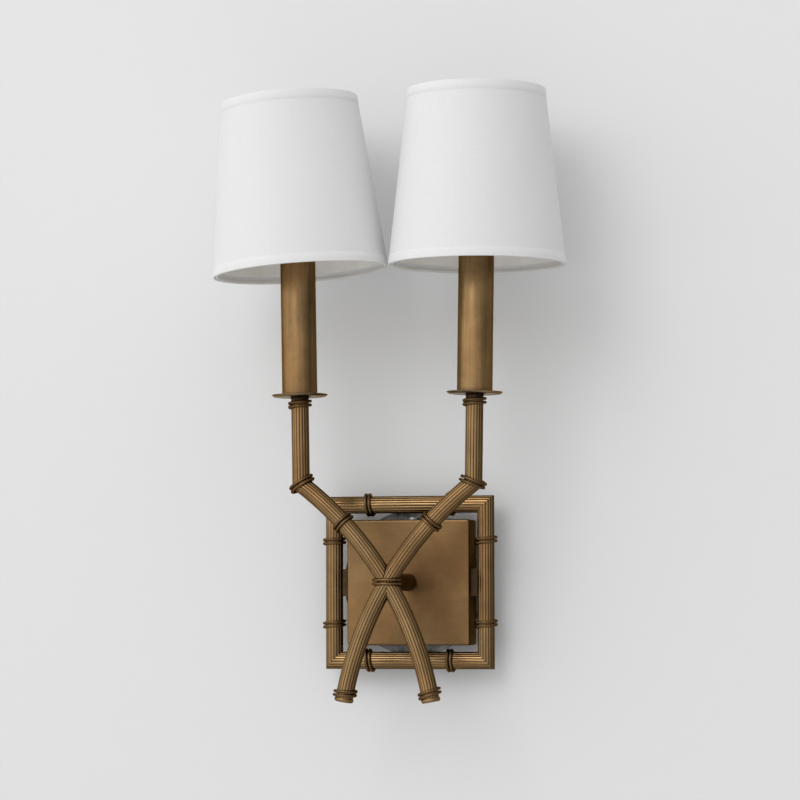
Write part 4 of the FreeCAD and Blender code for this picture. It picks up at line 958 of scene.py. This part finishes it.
def rings(name, body, matrix):
    """Bottom ring, and the carrier: top ring, two flat legs and their eyes round the clip's pins."""
    round_ring(f"ring_bottom_{name}", body, BOTTOM_RING_RADIUS, SHADE_LOW + RING_INSET, matrix,
               [f"shade_bottom_ring_{name}"])
    top_radius = SHADE_TOP_RADIUS - SHADE_WALL - RING_GAP - RING_WIDE / 2
    round_ring(f"ring_top_{name}", body, top_radius - 0.3, SHADE_HIGH - RING_INSET, matrix,
               [f"shade_carrier_{name}"])
    eye = CLIP_BORE + CLIP_THICKNESS + 1.2 + LEG_HALF
    route = [(eye, -2.6), (eye, 0), (eye, 3.5), (eye + 0.5, 6.5), (eye + 2.2, 11.5), (42.0, SHADE_HIGH - 7.8),
             (43.4, SHADE_HIGH - 4.1), (45.2, SHADE_HIGH - 1.9), (top_radius, SHADE_HIGH - 1.4)]
    steps = 6
    smooth = [curve_point(route, index, step / steps) for index in range(len(route) - 1) for step in range(steps)]
    smooth.append(Vector(route[-1]))
    low, high = LEG_HALF_WIDTH - LEG_CHAMFER, LEG_HALF_WIDTH
    section = [(-high, LEG_CHAMFER - LEG_HALF), (-low, -LEG_HALF), (low, -LEG_HALF), (high, LEG_CHAMFER - LEG_HALF)]
    section += [(-across, -out) for across, out in section]
    for turn, letter in ((0, "front"), (math.pi, "rear")):
        leg_matrix = matrix @ Matrix.Rotation(turn, 4, "Z")
        rows = []
        for index, spot in enumerate(smooth):
            ahead = smooth[min(index + 1, len(smooth) - 1)] - smooth[max(index - 1, 0)]
            ahead.normalize()
            normal = Vector((ahead.y, -ahead.x))
            rows.append([(across, -(spot.x + normal.x * out), spot.y + normal.y * out) for across, out in section])
        vertices = [point for row in rows for point in row]
        piece(f"carrier_leg_{letter}_{name}", body, "ring_white", MATERIALS["ring"], vertices, capped(rows),
              matrix=leg_matrix, replaces=[f"shade_carrier_{name}"])
        eye_place = leg_matrix @ along_axis(Vector((0, -eye + LEG_HALF, 0)), FRONT)
        lathe(f"carrier_eye_{letter}_{name}", body, "ring_white", MATERIALS["ring"],
              rounded([(1.35, -0.15), (2.7, -0.15), (2.7, 1.45), (1.35, 1.45)], 0.3), eye_place, 28,
              replaces=[f"shade_carrier_{name}"])


def curve_point(route, index, share):
    """Point on a smooth curve through the route, between index and the next."""
    last = len(route) - 1
    a, b, c, d = (Vector(route[min(max(near, 0), last)]) for near in range(index - 1, index + 3))
    return 0.5 * (2 * b + (c - a) * share + (2 * a - 5 * b + 4 * c - d) * share ** 2
                  + (3 * b - a - 3 * c + d) * share ** 3)


for side in (LEFT, RIGHT):
    clip(side)
    shade(side)

# ---- wall, floor and light, in metres

WALL_Y, REACH, FLOOR_Z = 0.0006, 3.0, -1.2
BOX_OPENING, BOX_STEPS = 0.05, 48
WALL_COLOUR, FLOOR_COLOUR = 0.795, 0.70


def stage_mesh(name, vertices, faces, colour):
    """Matt painted surface that shows from its front only, so that the object is seen from every side."""
    data = bpy.data.meshes.new(name)
    data.from_pydata(vertices, [], faces)
    obj = bpy.data.objects.new(name, data)
    bpy.context.scene.collection.objects.link(obj)
    n = Nodes(name)
    grain = n.noise(n.mapped("object", (9, 9, 9)), detail=5, roughness=0.6)
    n.set(Base_Color=(colour, colour, colour, 1), Roughness=0.9, Specular_IOR_Level=0.1,
          Normal=n.bump(grain, 0.0006, 0.6))
    mix = n.add("ShaderNodeMixShader", {0: n.add("ShaderNodeNewGeometry").outputs["Backfacing"],
                                        1: n.shader.outputs[0],
                                        2: n.add("ShaderNodeBsdfTransparent").outputs[0]})
    output = next(node for node in n.tree.nodes if node.type == "OUTPUT_MATERIAL")
    n.tree.links.new(mix.outputs[0], output.inputs[0])
    data.materials.append(n.material)


def wall():
    """Wall with a round box opening that the bracket covers."""
    vertices, faces = [], []
    for step in range(BOX_STEPS):
        turn = TAU * (step + 0.5) / BOX_STEPS
        across, up = math.cos(turn), math.sin(turn)
        reach = REACH / max(abs(across), abs(up))
        vertices.append((across * BOX_OPENING, WALL_Y, up * BOX_OPENING))
        vertices.append((across * reach, WALL_Y, max(up * reach, FLOOR_Z)))
    for step in range(BOX_STEPS):
        after = (step + 1) % BOX_STEPS
        faces.append((2 * step, 2 * step + 1, 2 * after + 1, 2 * after))
    stage_mesh("wall", vertices, faces, WALL_COLOUR)


wall()
stage_mesh("floor", [(-REACH, -2 * REACH, FLOOR_Z), (REACH, -2 * REACH, FLOOR_Z), (REACH, WALL_Y, FLOOR_Z),
                     (-REACH, WALL_Y, FLOOR_Z)], [(0, 1, 2, 3)], FLOOR_COLOUR)


def area_light(name, place, aim, size, power):
    """White square lamp; size in metres, power in watts."""
    lamp = bpy.data.lights.new(name, "AREA")
    lamp.shape = "SQUARE"
    lamp.size, lamp.energy = size, power
    obj = bpy.data.objects.new(name, lamp)
    bpy.context.scene.collection.objects.link(obj)
    obj.location = place
    obj.rotation_mode = "QUATERNION"
    obj.rotation_quaternion = (Vector(aim) - Vector(place)).to_track_quat("-Z", "Y")


area_light("key", place=(-0.75, -2.6, 1.6), aim=(0.02, -0.05, 0.1), size=1.5, power=17.5)
area_light("rear_fill", place=(0.5, 1.8, 0.5), aim=(0, 0, 0), size=1.2, power=6.0)

DAYLIGHT_WAY, DAYLIGHT_LEAST, DAYLIGHT_MOST = (-0.75, -0.35, 0.5), 0.28, 1.12


def studio_world():
    """Soft white daylight, most from the upper left in front and least from the other side."""
    world = bpy.data.worlds.new("studio")
    bpy.context.scene.world = world
    world.use_nodes = True
    tree = world.node_tree
    background = next(node for node in tree.nodes if node.type == "BACKGROUND")
    way = tree.nodes.new("ShaderNodeTexCoord")
    lean = tree.nodes.new("ShaderNodeVectorMath")
    lean.operation = "DOT_PRODUCT"
    lean.inputs[1].default_value = DAYLIGHT_WAY
    span = tree.nodes.new("ShaderNodeMapRange")
    for key, value in (("From Min", -0.8), ("From Max", 0.8), ("To Min", DAYLIGHT_LEAST), ("To Max", DAYLIGHT_MOST)):
        span.inputs[key].default_value = value
    tree.links.new(way.outputs["Generated"], lean.inputs[0])
    tree.links.new(lean.outputs["Value"], span.inputs["Value"])
    tree.links.new(span.outputs[0], background.inputs[1])
    background.inputs[0].default_value = (1, 1, 1, 1)


studio_world()
